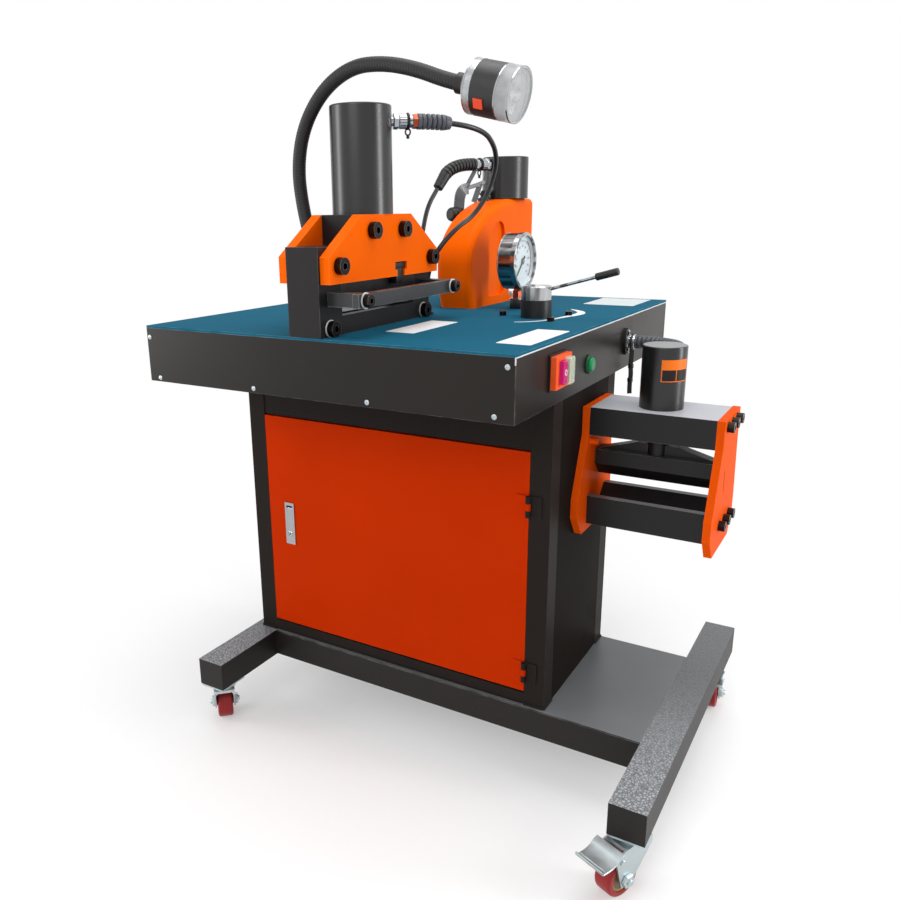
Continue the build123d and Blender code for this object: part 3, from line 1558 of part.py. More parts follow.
# Socket-head screws
with BuildPart() as cap_screws:
    for along, up in plate_screws:
        socket_screw(
            (cut_x[1] + cutter_plate, cutter_y + along, table_height + up),
            (-1, 0, 0),
            screw_head,
            screw_head_height,
            screw_shank,
            cutter_plate + 19.0,
        )
    for along, up in foot_screws:
        socket_screw(
            (cut_x[1], cutter_y + along, table_height + up),
            (-1, 0, 0),
            screw_head - 1.0,
            screw_head_height,
            screw_shank,
            19.0,
        )
    for side in (-1, 1):
        socket_screw(
            (bar_x[1], cutter_y + side * arm_reach, table_height + bar_level + bar_height / 2),
            (-1, 0, 0),
            bar_screw_head,
            bar_screw_head,
            bar_screw_shank,
            bar_thickness + 14.0,
        )
    for index, (place_y, level) in enumerate(bender_screws):
        socket_screw(
            (right_plate[1], place_y, level),
            (-1, 0, 0),
            bender_screw_head,
            bender_screw_head_height,
            bender_screw_shank,
            bender_plate - 0.5 if index == 4 else bender_plate + bender_screw_grip - 1.0,
        )
    for place_x, place_y in valve_screws:
        socket_screw(
            (place_x, place_y, table_height),
            (0, 0, -1),
            valve_screw_head,
            valve_screw_head_height,
            valve_screw_shank,
            table_plate + 8.0,
        )
finish(cap_screws, "cap_screws")
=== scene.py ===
"""Looks of the mobile busbar processing machine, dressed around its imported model.

Metres, in the model's own frame: +X to the right along the front, +Y to the back, +Z up from the floor.
"""

import json
from math import cos, pi, radians, sin, tan, tau

import bmesh
import bpy
from mathutils import Matrix, Vector


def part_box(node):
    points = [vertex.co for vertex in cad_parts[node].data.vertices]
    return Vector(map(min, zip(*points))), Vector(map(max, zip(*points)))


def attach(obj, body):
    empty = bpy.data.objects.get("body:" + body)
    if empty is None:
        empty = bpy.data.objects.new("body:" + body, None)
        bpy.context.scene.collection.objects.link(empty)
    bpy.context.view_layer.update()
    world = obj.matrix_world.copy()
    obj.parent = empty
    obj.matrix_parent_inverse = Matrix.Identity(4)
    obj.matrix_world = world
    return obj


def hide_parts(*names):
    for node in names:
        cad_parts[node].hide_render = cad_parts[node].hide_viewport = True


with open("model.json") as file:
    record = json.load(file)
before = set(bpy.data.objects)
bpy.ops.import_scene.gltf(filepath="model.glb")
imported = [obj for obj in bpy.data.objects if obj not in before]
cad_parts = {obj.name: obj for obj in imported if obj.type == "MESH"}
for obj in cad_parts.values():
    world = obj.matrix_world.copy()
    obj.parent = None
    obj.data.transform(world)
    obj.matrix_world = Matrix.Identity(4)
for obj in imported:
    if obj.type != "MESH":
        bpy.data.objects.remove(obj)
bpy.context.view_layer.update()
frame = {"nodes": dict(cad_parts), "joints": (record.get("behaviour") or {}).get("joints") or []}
nodes = frame["nodes"]
joints = {joint["name"]: joint for joint in frame["joints"]}
scene = bpy.context.scene
scene.view_settings.view_transform = "Standard"

# Camera at the photograph's viewing angle, in pixels of the photograph where it says so
photo_side = 900.0
focal_pixels = 832.8
axis_column = 400.0
sensor_width = 36.0
camera_place = Vector((0.6651, -1.3458, 0.9821))
camera_yaw = radians(31.7)
camera_pitch = radians(16.0)
camera_roll = radians(-0.9)

# Places that the pieces take from the model
to_right = Vector((1, 0, 0))
to_back = Vector((0, 1, 0))
upward = Vector((0, 0, 1))
front_right = Vector((0.6, -0.8, 0))
table_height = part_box("table_top")[1].z
skirt_low, skirt_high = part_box("table_skirt")
cutter_port = Vector((-0.150, -0.133, 1.125))
cutter_radius = 0.051
punch_port = Vector((-0.1285, 0.3905, 1.0735))
punch_radius = 0.049
casting_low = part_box("punch_frame")[0]
bulkhead = Vector((skirt_high.x, 0.196, 0.742))
bender_low, bender_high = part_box("bender_cylinder")
bender_radius = (bender_high.y - bender_low.y) / 2
bender_axis = Vector((bender_high.x - bender_radius, bender_low.y + bender_radius, bulkhead.z))
gauge_low, gauge_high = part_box("gauge_case")
gauge_radius = (gauge_high.z - gauge_low.z) / 2
needle_low, needle_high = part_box("gauge_needle")
gauge_dial = Vector((needle_low.x - 0.001, *joints["gauge_sweep"]["pos_m"][1:]))
gauge_stem = Vector((-0.013, gauge_dial.y, table_height))
bar_low, bar_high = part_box("cutter_guide_bar")
bar_middle = (bar_low + bar_high) / 2
cutter_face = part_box("cutter_body")[1].x
lamp_foot = Vector((-0.224, -0.161, table_height))
lamp_tail = Vector((0.0576, -0.161, 1.160))
lamp_tilt = radians(14.0)
lamp_along = Vector((cos(lamp_tilt), 0, -sin(lamp_tilt)))
paddle_low, paddle_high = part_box("latch_paddle")
latch_lock = Vector(((paddle_low.x + paddle_high.x) / 2, paddle_low.y, 0.372))
motor_middle = Vector((0.010, *joints["motor_spin"]["pos_m"][1:]))
casters = ("front_right", "front_left", "rear_right", "rear_left")
cheek_reach = 0.020
pedal_width = 0.052

# How finely the forms are drawn
sharp_angle = radians(32)
band_spacing = 0.0015
guard_spacing = 0.0006
neck_spacing = 0.0012

# Hydraulic lines
hose_diameter = 0.009
coupler_length = 0.045
guard_rib = 0.0126
guard_groove = 0.0096
guard_pitch = 0.0090
cutter_guard_length = 0.058
punch_guard_length = 0.118
bender_guard_length = 0.136
cutter_out = Vector((cos(radians(45)), sin(radians(45)), 0))
punch_out = Vector((cos(radians(250)), sin(radians(250)), 0))
cutter_start = cutter_port + cutter_out * (cutter_radius + coupler_length)
punch_start = punch_port + punch_out * (punch_radius + coupler_length)
punch_drop = radians(52)
punch_down = punch_out * cos(punch_drop) - upward * sin(punch_drop)
punch_guard_run = 0.010 + 0.108 * tan(punch_drop / 2)
punch_corner = punch_start + punch_out * punch_guard_run
punch_guard_end = punch_corner + punch_down * punch_guard_run
cutter_grommet = Vector((-0.132, 0.049, table_height))
punch_grommet = Vector((-0.212, 0.162, table_height))
bender_port = bender_axis + to_back * bender_radius
bender_line_end = Vector((bender_axis.x, 0.1284, bulkhead.z))
cutter_route = [
    cutter_start,
    cutter_start + cutter_out * (cutter_guard_length + 0.048),
    (-0.014, 0.112, 1.082),
    (-0.040, 0.128, 1.016),
    (-0.063, 0.111, 0.972),
    (-0.080, 0.074, 0.952),
    (-0.108, 0.049, 0.912),
    (-0.126, 0.048, 0.875),
    (-0.132, 0.0493, 0.835),
    (-0.132, 0.049, 0.805),
    (-0.132, 0.0492, 0.782),
]
punch_route = [
    punch_start,
    punch_corner,
    punch_guard_end,
    punch_guard_end + punch_down * 0.042,
    (-0.2095, 0.170, 0.940),
    (-0.213, 0.161, 0.885),
    (-0.212, 0.162, 0.832),
    (-0.212, 0.1622, 0.782),
]
bender_route = [
    bulkhead + to_right * 0.019,
    Vector((bender_axis.x, bulkhead.y, bulkhead.z)),
    bender_line_end,
]
neck_route = [
    lamp_foot + upward * 0.023,
    (-0.226, -0.161, 0.860),
    (-0.238, -0.161, 0.925),
    (-0.255, -0.161, 0.990),
    (-0.262, -0.161, 1.055),
    (-0.246, -0.161, 1.120),
    (-0.203, -0.161, 1.174),
    (-0.146, -0.161, 1.203),
    (-0.088, -0.161, 1.203),
    (-0.030, -0.161, 1.190),
    lamp_tail - lamp_along * 0.030,
    lamp_tail,
]


class Value:
    """One socket of a finish; arithmetic on it adds Math nodes."""

    def __init__(self, finish, socket):
        self.finish = finish
        self.socket = socket

    def __add__(self, other):
        return self.finish.math("ADD", self, other)

    def __sub__(self, other):
        return self.finish.math("SUBTRACT", self, other)

    def __rsub__(self, other):
        return self.finish.math("SUBTRACT", other, self)

    def __mul__(self, other):
        return self.finish.math("MULTIPLY", self, other)

    def __gt__(self, other):
        return self.finish.math("GREATER_THAN", self, other)

    def __lt__(self, other):
        return self.finish.math("LESS_THAN", self, other)

    __radd__ = __add__
    __rmul__ = __mul__


class Finish:
    """A procedural finish: the nodes of a material or of the surround, and their maths."""

    def __init__(self, name, kind=bpy.data.materials, shader="Principled BSDF", end="Material Output"):
        self.owner = kind.new(name)
        self.owner.use_nodes = True
        self.tree = self.owner.node_tree
        self.shader = self.tree.nodes[shader]
        self.end = self.tree.nodes[end]
        self.place = self.node("ShaderNodeTexCoord", output="Object")

    def node(self, kind, settings=None, sockets=None, output=0):
        """Add a node, with its settings first and then the values or links of its sockets."""
        made = self.tree.nodes.new(kind)
        for key, value in (settings or {}).items():
            setattr(made, key, value)
        for key, value in (sockets or {}).items():
            self.feed(made.inputs[key], value)
        return Value(self, made.outputs[output])

    def feed(self, socket, value):
        if isinstance(value, Value):
            self.tree.links.new(value.socket, socket)
        else:
            socket.default_value = value

    def set(self, sockets):
        """Set or link sockets of the main shader."""
        for key, value in sockets.items():
            self.feed(self.shader.inputs[key], value)
        return self.owner

    def blend(self, share, other):
        """Show another shader in place of the main one, by share."""
        main = Value(self, self.shader.outputs[0])
        mixed = self.node("ShaderNodeMixShader", None, {0: share, 1: main, 2: other})
        self.feed(self.end.inputs["Surface"], mixed)

    def math(self, operation, *values):
        return self.node("ShaderNodeMath", {"operation": operation}, dict(enumerate(values)))

    def vector(self, operation, first, second, output=0):
        return self.node("ShaderNodeVectorMath", {"operation": operation}, {0: first, 1: second}, output)

    def mix(self, share, first, second):
        """A colour between two, by share."""
        return self.node("ShaderNodeMix", {"data_type": "RGBA"}, {0: share, 6: first, 7: second}, 2)

    def axis(self, letter):
        return self.node("ShaderNodeSeparateXYZ", None, {"Vector": self.place}, letter)

    def step(self, value, low, high):
        """A smooth rise from 0 at low to 1 at high."""
        limits = {"Value": value, "From Min": low, "From Max": high}
        return self.node("ShaderNodeMapRange", {"interpolation_type": "SMOOTHSTEP"}, limits)

    def noise(self, size, detail=2.0, stretch=None):
        """Cloudy noise with features of about that size."""
        place = self.place
        if stretch:
            place = self.vector("MULTIPLY", place, stretch)
        return self.node("ShaderNodeTexNoise", None, {"Vector": place, "Scale": 1 / size, "Detail": detail})

    def cells(self, size):
        """Rounded cells of about that size: 0 along their seams."""
        sockets = {"Vector": self.place, "Scale": 1 / size}
        return self.node("ShaderNodeTexVoronoi", {"feature": "DISTANCE_TO_EDGE"}, sockets)

    def edges(self, width):
        """1 along the edges of the form and 0 on its faces."""
        rounded = self.node("ShaderNodeBevel", {"samples": 4}, {"Radius": width})
        flat = self.node("ShaderNodeNewGeometry", output="Normal")
        return self.step(1 - self.vector("DOT_PRODUCT", rounded, flat, "Value"), 0.01, 0.16)

    def tops(self):
        """1 on faces that look up and 0 on the sides."""
        facing = self.node("ShaderNodeTexCoord", output="Normal")
        return self.step(self.vector("DOT_PRODUCT", facing, (0, 0, 1), "Value"), 0.80, 0.98)

    def light_path(self):
        """1 for what the camera sees straight, in a gloss or through glass."""
        kinds = ("Is Camera Ray", "Is Glossy Ray", "Is Transmission Ray")
        seen, mirrored, through = (self.node("ShaderNodeLightPath", output=kind) for kind in kinds)
        return self.math("MINIMUM", seen + mirrored + through, 1.0)

    def relief(self, height, depth):
        return self.node("ShaderNodeBump", None, {"Height": height, "Distance": depth})


def shade(red, green, blue):
    """A colour as it is seen, each part from 0 to 255, as the shader's linear colour."""
    parts = [level / 255 for level in (red, green, blue)]
    linear = [part / 12.92 if part <= 0.04045 else ((part + 0.055) / 1.055) ** 2.4 for part in parts]
    return (*linear, 1.0)


def toned(colour, factor):
    return (*(min(1.0, part * factor) for part in colour[:3]), 1.0)


def painted(name, colour, roughness, gloss=0.5, grain=0.0014, depth=0.00006, edge_wear_and_highlight=0.3, edge_colour=None, top_highlight=None):
    """Sprayed paint: slow drift, orange-peel relief, edges rubbed lighter by wear and by painted highlight,
    handling marks, and a painted highlight on its tops.
    """
    finish = Finish(name)
    drift = finish.noise(0.24, 4.0)
    grains = finish.noise(grain, 2.0)
    marks = finish.step(finish.noise(0.06, 6.0), 0.58, 0.74)
    # Lighter edges: partly real wear, partly painted highlight of the edges.
    worn_and_lit_edges = finish.edges(0.0014) * finish.step(finish.noise(0.03, 4.0), 0.30, 0.66)
    body = finish.mix(drift, toned(colour, 0.88), toned(colour, 1.12))
    body = finish.mix(grains * 0.22, body, toned(colour, 0.72))
    # Upward faces take a lighter colour: a painted highlight where the tops catch the light.
    if top_highlight:
        body = finish.mix(finish.tops() * (0.75 + 0.5 * (drift - 0.5)), body, top_highlight)
    body = finish.mix(worn_and_lit_edges * edge_wear_and_highlight, body, edge_colour or toned(colour, 2.2))
    return finish.set({
        "Base Color": body,
        "Roughness": roughness + 0.10 * (drift - 0.5) + 0.05 * marks + 0.05 * grains,
        "Specular IOR Level": gloss,
        "Normal": finish.relief(grains + 0.8 * finish.noise(grain * 5, 2.0), depth),
    })


def hammered(name, colour, top_highlight, roughness, gloss):
    """Hammered paint: pebbles with dark seams on the tops and plain sides; the tops are painted paler as a
    highlight, palest at the front.
    """
    finish = Finish(name)
    pebble = 0.0050
    pebbles = finish.step(finish.cells(pebble), 0.0, 0.27)
    fine = finish.noise(0.0016, 2.0)
    drift = finish.noise(0.20, 4.0)
    tops = finish.tops()
    # Painted highlight: the tops grow paler, with starker seams, towards the front.
    front = finish.step(finish.axis("Y"), 0.12, -0.32)
    seams = (1 - pebbles) * (0.28 + 0.47 * front)
    # Lighter edges: partly wear, partly painted highlight.
    worn_and_lit_edges = finish.edges(0.0016) * finish.step(finish.noise(0.03, 4.0), 0.35, 0.7)
    body = finish.mix(drift, toned(colour, 0.88), toned(colour, 1.12))
    # The top colour is a painted highlight of the upward faces.
    grain = finish.mix(front, toned(top_highlight, 0.78), toned(top_highlight, 2.1))
    grain = finish.mix(finish.step(fine, 0.40, 0.70) * 0.4, grain, toned(top_highlight, 0.6))
    body = finish.mix(tops, body, finish.mix(seams, grain, toned(top_highlight, 0.22)))
    body = finish.mix(worn_and_lit_edges * 0.35, body, shade(150, 150, 150))
    return finish.set({
        "Base Color": body,
        "Roughness": roughness + 0.12 * (drift - 0.5) + 0.08 * fine + 0.12 * (1 - tops),
        "Specular IOR Level": gloss,
        "Normal": finish.relief((pebbles + 0.2 * fine) * (0.2 + 0.8 * tops), 0.0005),
    })


def plated(name, colour, roughness, cloud=0.02, lines=None, tint=None, bands=None):
    """Bright metal: soft clouding, fine drawn lines, an optional passivation tint, optional darker bands of
    painted reflection, and edges painted pale as a highlight.
    """
    finish = Finish(name)
    clouds = finish.noise(cloud, 5.0)
    drawn = finish.noise(0.0007, 3.0, lines or (1.0, 1.0, 1.0))
    body = finish.mix(clouds, toned(colour, 0.80), colour)
    # Darker bands: a painted reflection of dark surroundings.
    if bands:
        dark = finish.step(finish.noise(0.020, 1.0, bands), 0.46, 0.60)
        body = finish.mix(dark * 0.85, body, shade(74, 66, 62))
    if tint:
        film = finish.step(finish.noise(cloud * 1.7, 3.0), 0.45, 0.75)
        body = finish.mix(film * 0.35, body, tint)
    return finish.set({
        # Pale edges: a painted highlight.
        "Base Color": finish.mix(finish.edges(0.0008) * 0.4, body, shade(240, 242, 242)),
        "Metallic": 1.0,
        "Roughness": roughness + 0.22 * (clouds - 0.5) + 0.12 * (drawn - 0.5),
        "Normal": finish.relief(drawn, 0.00002),
    })


def moulded(name, colour, roughness, gloss=0.5, grain=0.0006, depth=0.00003):
    """Moulded plastic: a faint eroded grain, slight flow drift and edges painted lighter as a highlight."""
    finish = Finish(name)
    drift = finish.noise(0.03, 3.0)
    grains = finish.noise(grain, 2.0)
    body = finish.mix(drift, toned(colour, 0.92), toned(colour, 1.06))
    # The edges are painted lighter: a painted highlight.
    return finish.set({
        "Base Color": finish.mix(finish.edges(0.0008) * 0.25, body, toned(colour, 1.7)),
        "Roughness": roughness + 0.10 * (drift - 0.5) + 0.06 * grains,
        "Specular IOR Level": gloss,
        "Normal": finish.relief(grains, depth),
    })


def rubber(name, colour, roughness, gloss=0.4):
    """Rubber with a dusty bloom and a fine skin."""
    finish = Finish(name)
    bloom = finish.noise(0.025, 5.0)
    grains = finish.noise(0.0009, 2.0)
    body = finish.mix(finish.step(bloom, 0.45, 0.8) * 0.5, colour, toned(colour, 1.9))
    return finish.set({
        "Base Color": finish.mix(grains * 0.2, body, toned(colour, 0.6)),
        "Roughness": roughness + 0.18 * (bloom - 0.5) + 0.06 * grains,
        "Specular IOR Level": gloss,
        "Normal": finish.relief(grains, 0.00004),
    })


def clear(name, colour, alpha, roughness):
    """Thin clear plastic or glass with a little haze and fine scratches."""
    finish = Finish(name)
    haze = finish.noise(0.03, 4.0)
    lines = finish.step(finish.noise(0.004, 6.0, (1.0, 6.0, 1.0)), 0.68, 0.78)
    return finish.set({
        "Base Color": finish.mix(haze, toned(colour, 0.95), colour),
        "Alpha": alpha + 0.05 * haze + 0.06 * lines,
        "Roughness": roughness + 0.05 * haze + 0.10 * lines,
    })


def vinyl(name, colour, border=None):
    """Vinyl left bare: a slightly uneven sheet with a faint emboss and a darker rim."""
    finish = Finish(name)
    drift = finish.noise(0.06, 4.0)
    fine = finish.noise(0.0014, 2.0)
    body = finish.mix(drift, toned(colour, 0.94), colour)
    return finish.set({
        "Base Color": finish.mix(finish.edges(0.0012) * 0.3, body, border or toned(colour, 0.7)),
        "Roughness": 0.42 + 0.12 * (drift - 0.5) + 0.05 * fine,
        "Specular IOR Level": 0.2,
        "Normal": finish.relief(fine, 0.00002),
    })


def wheel_red(caster):
    """A cast red tyre on a tan core, told apart by the distance from the axle."""
    spin = joints[f"wheel_spin_{caster}"]
    finish = Finish(f"wheel_{caster}")
    reach = finish.vector("SUBTRACT", finish.place, spin["pos_m"])
    swing = finish.vector("CROSS_PRODUCT", reach, spin["axis"])
    radius = finish.vector("LENGTH", swing, (0, 0, 0), "Value")
    tyre = finish.step(radius, 0.0230, 0.0238)
    ring = finish.step(radius, 0.0195, 0.0200) * (1 - tyre)
    drift = finish.noise(0.012, 4.0)
    grit = finish.step(finish.noise(0.004, 5.0), 0.55, 0.75)
    core = finish.mix(ring, shade(112, 92, 62), shade(176, 140, 92))
    red = finish.mix(drift, shade(126, 8, 12), shade(160, 18, 20))
    red = finish.mix(grit * finish.step(radius, 0.0305, 0.0322) * 0.5, red, shade(96, 60, 54))
    return finish.set({
        "Base Color": finish.mix(tyre, core, red),
        "Roughness": 0.30 + 0.25 * grit * tyre + 0.12 * drift,
        "Specular IOR Level": 0.35,
        "Normal": finish.relief(drift, 0.0002),
    })


def lamp_shell():
    """The lamp's turned shell: bright rings, a black band and a clear front, by the distance along it."""
    finish = Finish("lamp_shell")
    reach = finish.vector("SUBTRACT", finish.place, lamp_tail)
    along = finish.vector("DOT_PRODUCT", reach, lamp_along, "Value")
    band = (along > 0.0260) * (along < 0.0660)
    front = finish.step(along, 0.0660, 0.0668)
    clouds = finish.noise(0.02, 4.0)
    turned_lines = finish.math("SINE", along * 4200.0)
    metal = finish.mix(clouds, shade(126, 128, 130), shade(186, 188, 190))
    body = finish.mix(band, metal, shade(10, 10, 11))
    body = finish.mix(front, body, finish.mix(clouds, shade(150, 152, 154), shade(206, 208, 210)))
    return finish.set({
        "Base Color": body,
        "Metallic": (1 - band) * (1 - front) * 0.7,
        "Roughness": 0.30 + 0.14 * clouds + 0.06 * band,
        "Alpha": 1 - 0.35 * front,
        "Normal": finish.relief(turned_lines * (1 - front), 0.00004),
    })


def switch_shell():
    """Orange switch box on its dark plate, with a dark green ring round the push button beside it: painted
    shade of the green key.
    """
    finish = Finish("switch_shell")
    beside = finish.axis("Y") < -0.04
    proud = finish.axis("X") > skirt_high.x + 0.0006 + 0.0025 * beside
    box = proud * beside
    drift = finish.noise(0.02, 4.0)
    orange = finish.mix(drift, shade(226, 74, 22), shade(244, 98, 40))
    # Dark green ring round the push button: painted shade of the green key.
    dark = finish.mix(proud, shade(16, 15, 15), shade(8, 74, 44))
    return finish.set({
        "Base Color": finish.mix(box, dark, orange),
        "Roughness": 0.40 + 0.12 * drift,
        "Specular IOR Level": 0.3,
        "Normal": finish.relief(finish.noise(0.0007, 2.0), 0.00003),
    })


white = (1, 1, 1, 1)
# Colours of the lighter edges: worn paint and painted highlight.
grey_edge = shade(150, 148, 146)
pale_edge = shade(190, 190, 190)
brown_edge = shade(96, 94, 92)
orange_edge = shade(255, 160, 84)
# Colour, roughness, gloss, grain size and depth, share of worn and lit edges, their colour, painted
# highlight of the tops
paints = {
    "post_black": (shade(38, 33, 31), 0.42, 0.035, 0.0018, 0.00010, 0.25, brown_edge),
    "panel_black": (shade(28, 24, 22), 0.46, 0.010, 0.0018, 0.00010, 0.25, brown_edge),
    "bender_black": (shade(19, 17, 17), 0.36, 0.30, 0.0016, 0.00008, 0.5, grey_edge, shade(92, 93, 96)),
    "block_black": (shade(20, 19, 20), 0.36, 0.30, 0.0016, 0.00008, 0.5, grey_edge, shade(196, 197, 204)),
    "skirt_charcoal": (shade(31, 27, 24), 0.34, 0.20, 0.0016, 0.00008, 0.5, grey_edge),
    "cutter_charcoal": (shade(29, 26, 27), 0.36, 0.20, 0.0016, 0.00008, 0.5, grey_edge),
    "deck_grey": (shade(28, 25, 24), 0.34, 0.38, 0.0020, 0.00014, 0.6, pale_edge, shade(116, 119, 122)),
    "worktop_teal": (shade(32, 93, 117), 0.55, 0.004, 0.0014, 0.00005, 0.6, shade(120, 170, 186)),
    "orange_plate": (shade(255, 100, 2), 0.40, 0.03, 0.0016, 0.00006, 0.45, orange_edge),
    "orange_casting": (shade(255, 98, 2), 0.26, 0.025, 0.0050, 0.00012, 0.3, orange_edge),
    "bender_orange": (shade(226, 80, 6), 0.42, 0.015, 0.0016, 0.00006, 0.4, shade(250, 140, 66)),
    "door_orange": (shade(188, 46, 2), 0.34, 0.012, 0.0015, 0.00005, 0.35, shade(226, 96, 30)),
    "cylinder_grey": (shade(20, 20, 21), 0.26, 0.55, 0.0014, 0.00003, 0.5, grey_edge, shade(116, 118, 120)),
    "tank_grey": (shade(104, 110, 114), 0.42),
    "bar_grey": (shade(40, 41, 43), 0.34, 0.5, 0.0014, 0.00005, 0.7, shade(176, 178, 180)),
    "valve_black": (shade(16, 16, 17), 0.34, 0.4, 0.0012, 0.00005, 0.5, shade(110, 108, 106)),
    "trim_pale": (shade(206, 208, 210), 0.36, 0.4),
}
# Colour, roughness, cloud size, stretch of the drawn lines, tint, stretch of the darker bands of painted
# reflection
metals = {
    "zinc": (shade(196, 206, 208), 0.38, 0.016, None, shade(164, 190, 198)),
    "chrome": (shade(180, 182, 185), 0.16, 0.03),
    "lever_chrome": (shade(196, 197, 200), 0.16, 0.03, None, None, (1.0, 1.0, 0.05)),
    "clip_steel": (shade(104, 104, 106), 0.30, 0.008),
    "gauge_steel": (shade(196, 196, 198), 0.18, 0.03, (30.0, 1.0, 1.0), None, (0.05, 0.9, 1.6)),
    "ground_steel": (shade(160, 162, 164), 0.34, 0.02, (1.0, 12.0, 1.0)),
    "dark_steel": (shade(66, 64, 62), 0.40, 0.02, (1.0, 12.0, 1.0)),
    "screw_oxide": (shade(44, 37, 34), 0.36, 0.006),
    "motor_alloy": (shade(150, 154, 158), 0.46, 0.02),
    "copper_nut": (shade(158, 76, 52), 0.34, 0.006),
    "reflector": (shade(214, 216, 218), 0.10, 0.01),
}
# Colour, roughness, gloss, grain size and depth
mouldings = {
    "grip_black": (shade(14, 14, 15), 0.36, 0.5, 0.0012, 0.00008),
    "moulded_black": (shade(12, 12, 13), 0.38, 0.4),
    "needle_black": (shade(18, 18, 22), 0.40),
    "key_red": (shade(190, 22, 110), 0.26, 0.3),
    "key_green": (shade(4, 148, 82), 0.30, 0.25),
    "lamp_key": (shade(226, 70, 34), 0.30),
    "dial_paper": (shade(222, 232, 235), 0.5, 0.2),
    "dial_red": (shade(110, 30, 58), 0.5, 0.2),
    "mark_white": (shade(236, 236, 234), 0.4, 0.2),
    "led_pale": (shade(240, 236, 206), 0.18),
}
# Colour, roughness, gloss
rubbers = {
    "neck_black": (shade(26, 26, 28), 0.50, 0.35),
    "hose_black": (shade(14, 14, 15), 0.30, 0.5),
    "guard_grey": (shade(74, 76, 82), 0.44),
    "guard_black": (shade(22, 22, 24), 0.42),
}
# Colour, opacity, roughness
panes = {
    "gauge_pane": (shade(240, 246, 250), 0.04, 0.03),
    "lamp_pane": (shade(226, 229, 231), 0.30, 0.12),
    "key_hood": (shade(226, 236, 218), 0.34, 0.05),
}
# Colour, colour of the rim
vinyls = {
    "label_white": (shade(240, 242, 242),),
    "label_grey": (shade(200, 210, 212),),
    "label_orange": (shade(240, 116, 24),),
    "label_dark": (shade(30, 26, 26), shade(60, 50, 46)),
}
finishes = {
    # The second colour of the hammered finish is the painted highlight of its tops.
    "hammered_black": hammered("hammered_black", shade(28, 24, 22), shade(126, 129, 132), 0.30, 0.24),
    "lamp_shell": lamp_shell(),
    "switch_shell": switch_shell(),
}
for maker, looks in (
    (painted, paints),
    (plated, metals),
    (moulded, mouldings),
    (rubber, rubbers),
    (clear, panes),
    (vinyl, vinyls),
):
    for name, look in looks.items():
        finishes[name] = maker(name, *look)

# The nodes of the model that keep their own form, by finish
node_finishes = {
    "hammered_black": "base_frame",
    "post_black": "cabinet_frame door_hinge_pins",
    "panel_black": "cabinet_panels",
    "bender_black": "bender_beam bender_die",
    "block_black": "bender_top_block",
    "skirt_charcoal": "table_skirt",
    "cutter_charcoal": "cutter_body",
    "deck_grey": "base_deck",
    "worktop_teal": "table_top",
    "orange_plate": "cutter_side_plates",
    "bender_orange": "bender_plates",
    "orange_casting": "punch_frame",
    "door_orange": "door_panel",
    "cylinder_grey": "cutter_cylinder punch_cylinder bender_cylinder",
    "tank_grey": "oil_tank",
    "bar_grey": "cutter_guide_bar",
    "valve_black": "valve_body",
    "zinc": "caster_plates",
    "chrome": "latch_case latch_paddle hydraulic_fittings",
    "lever_chrome": "valve_lever",
    "gauge_steel": "gauge_case",
    "ground_steel": "punch_die punch_ram motor_rotor",
    "dark_steel": "cutter_ram cutter_upper_blade cutter_lower_blade",
    "screw_oxide": "cap_screws",
    "motor_alloy": "motor_housing",
    "grip_black": "lever_grip",
    "key_red": "stop_button",
    "key_green": "start_button pump_button",
    "lamp_key": "lamp_button",
    "needle_black": "gauge_needle",
    "gauge_pane": "gauge_glass",
    "lamp_pane": "lamp_lens",
    "lamp_shell": "lamp_head",
    "switch_shell": "switch_housings",
}


def dress(node, material):
    """Give a node of the model its finish."""
    for place in nodes[node].material_slots:
        place.material = material


def add_object(name, data):
    """Put data into the scene as an object."""
    made = bpy.data.objects.new(name, data)
    scene.collection.objects.link(made)
    return made


def settle(piece, body="machine", replaces=None):
    """Let a piece ride on a body, and say which node it stands for."""
    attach(piece, body)
    if replaces:
        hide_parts(replaces)


def make_camera():
    flat = cos(camera_pitch)
    forward = Vector((-sin(camera_yaw) * flat, cos(camera_yaw) * flat, -sin(camera_pitch)))
    level = Vector((cos(camera_yaw), sin(camera_yaw), 0))
    upright = level.cross(forward)
    right = cos(camera_roll) * level + sin(camera_roll) * upright
    up = cos(camera_roll) * upright - sin(camera_roll) * level
    data = bpy.data.cameras.new("camera")
    data.sensor_width = sensor_width
    data.lens = sensor_width * focal_pixels / photo_side
    data.shift_x = (photo_side / 2 - axis_column) / photo_side
    camera = add_object("camera", data)
    turn = Matrix((right, up, -forward)).transposed().to_4x4()
    camera.matrix_world = Matrix.Translation(camera_place) @ turn
    scene.camera = camera


def nurbs(name, route):
    """A smooth line with the route's points as its control points."""
    curve = bpy.data.curves.new(name, "CURVE")
    curve.dimensions = "3D"
    spline = curve.splines.new("NURBS")
    spline.points.add(len(route) - 1)
    for point, place in zip(spline.points, route):
        point.co = (*place, 1)
    spline.order_u = 3
    spline.use_endpoint_u = True
    spline.resolution_u = 16
    return curve


def mesh_of(curve):
    """The mesh of a curve or text, which is then removed."""
    guide = add_object("guide", curve)
    mesh = bpy.data.meshes.new_from_object(guide.evaluated_get(bpy.context.evaluated_depsgraph_get()))
    bpy.data.objects.remove(guide)
    bpy.data.curves.remove(curve)
    return mesh


def line_of(route):
    """Points along the smooth line of a route."""
    mesh = mesh_of(nurbs("guide", route))
    points = [vertex.co.copy() for vertex in mesh.vertices]
    bpy.data.meshes.remove(mesh)
    return points


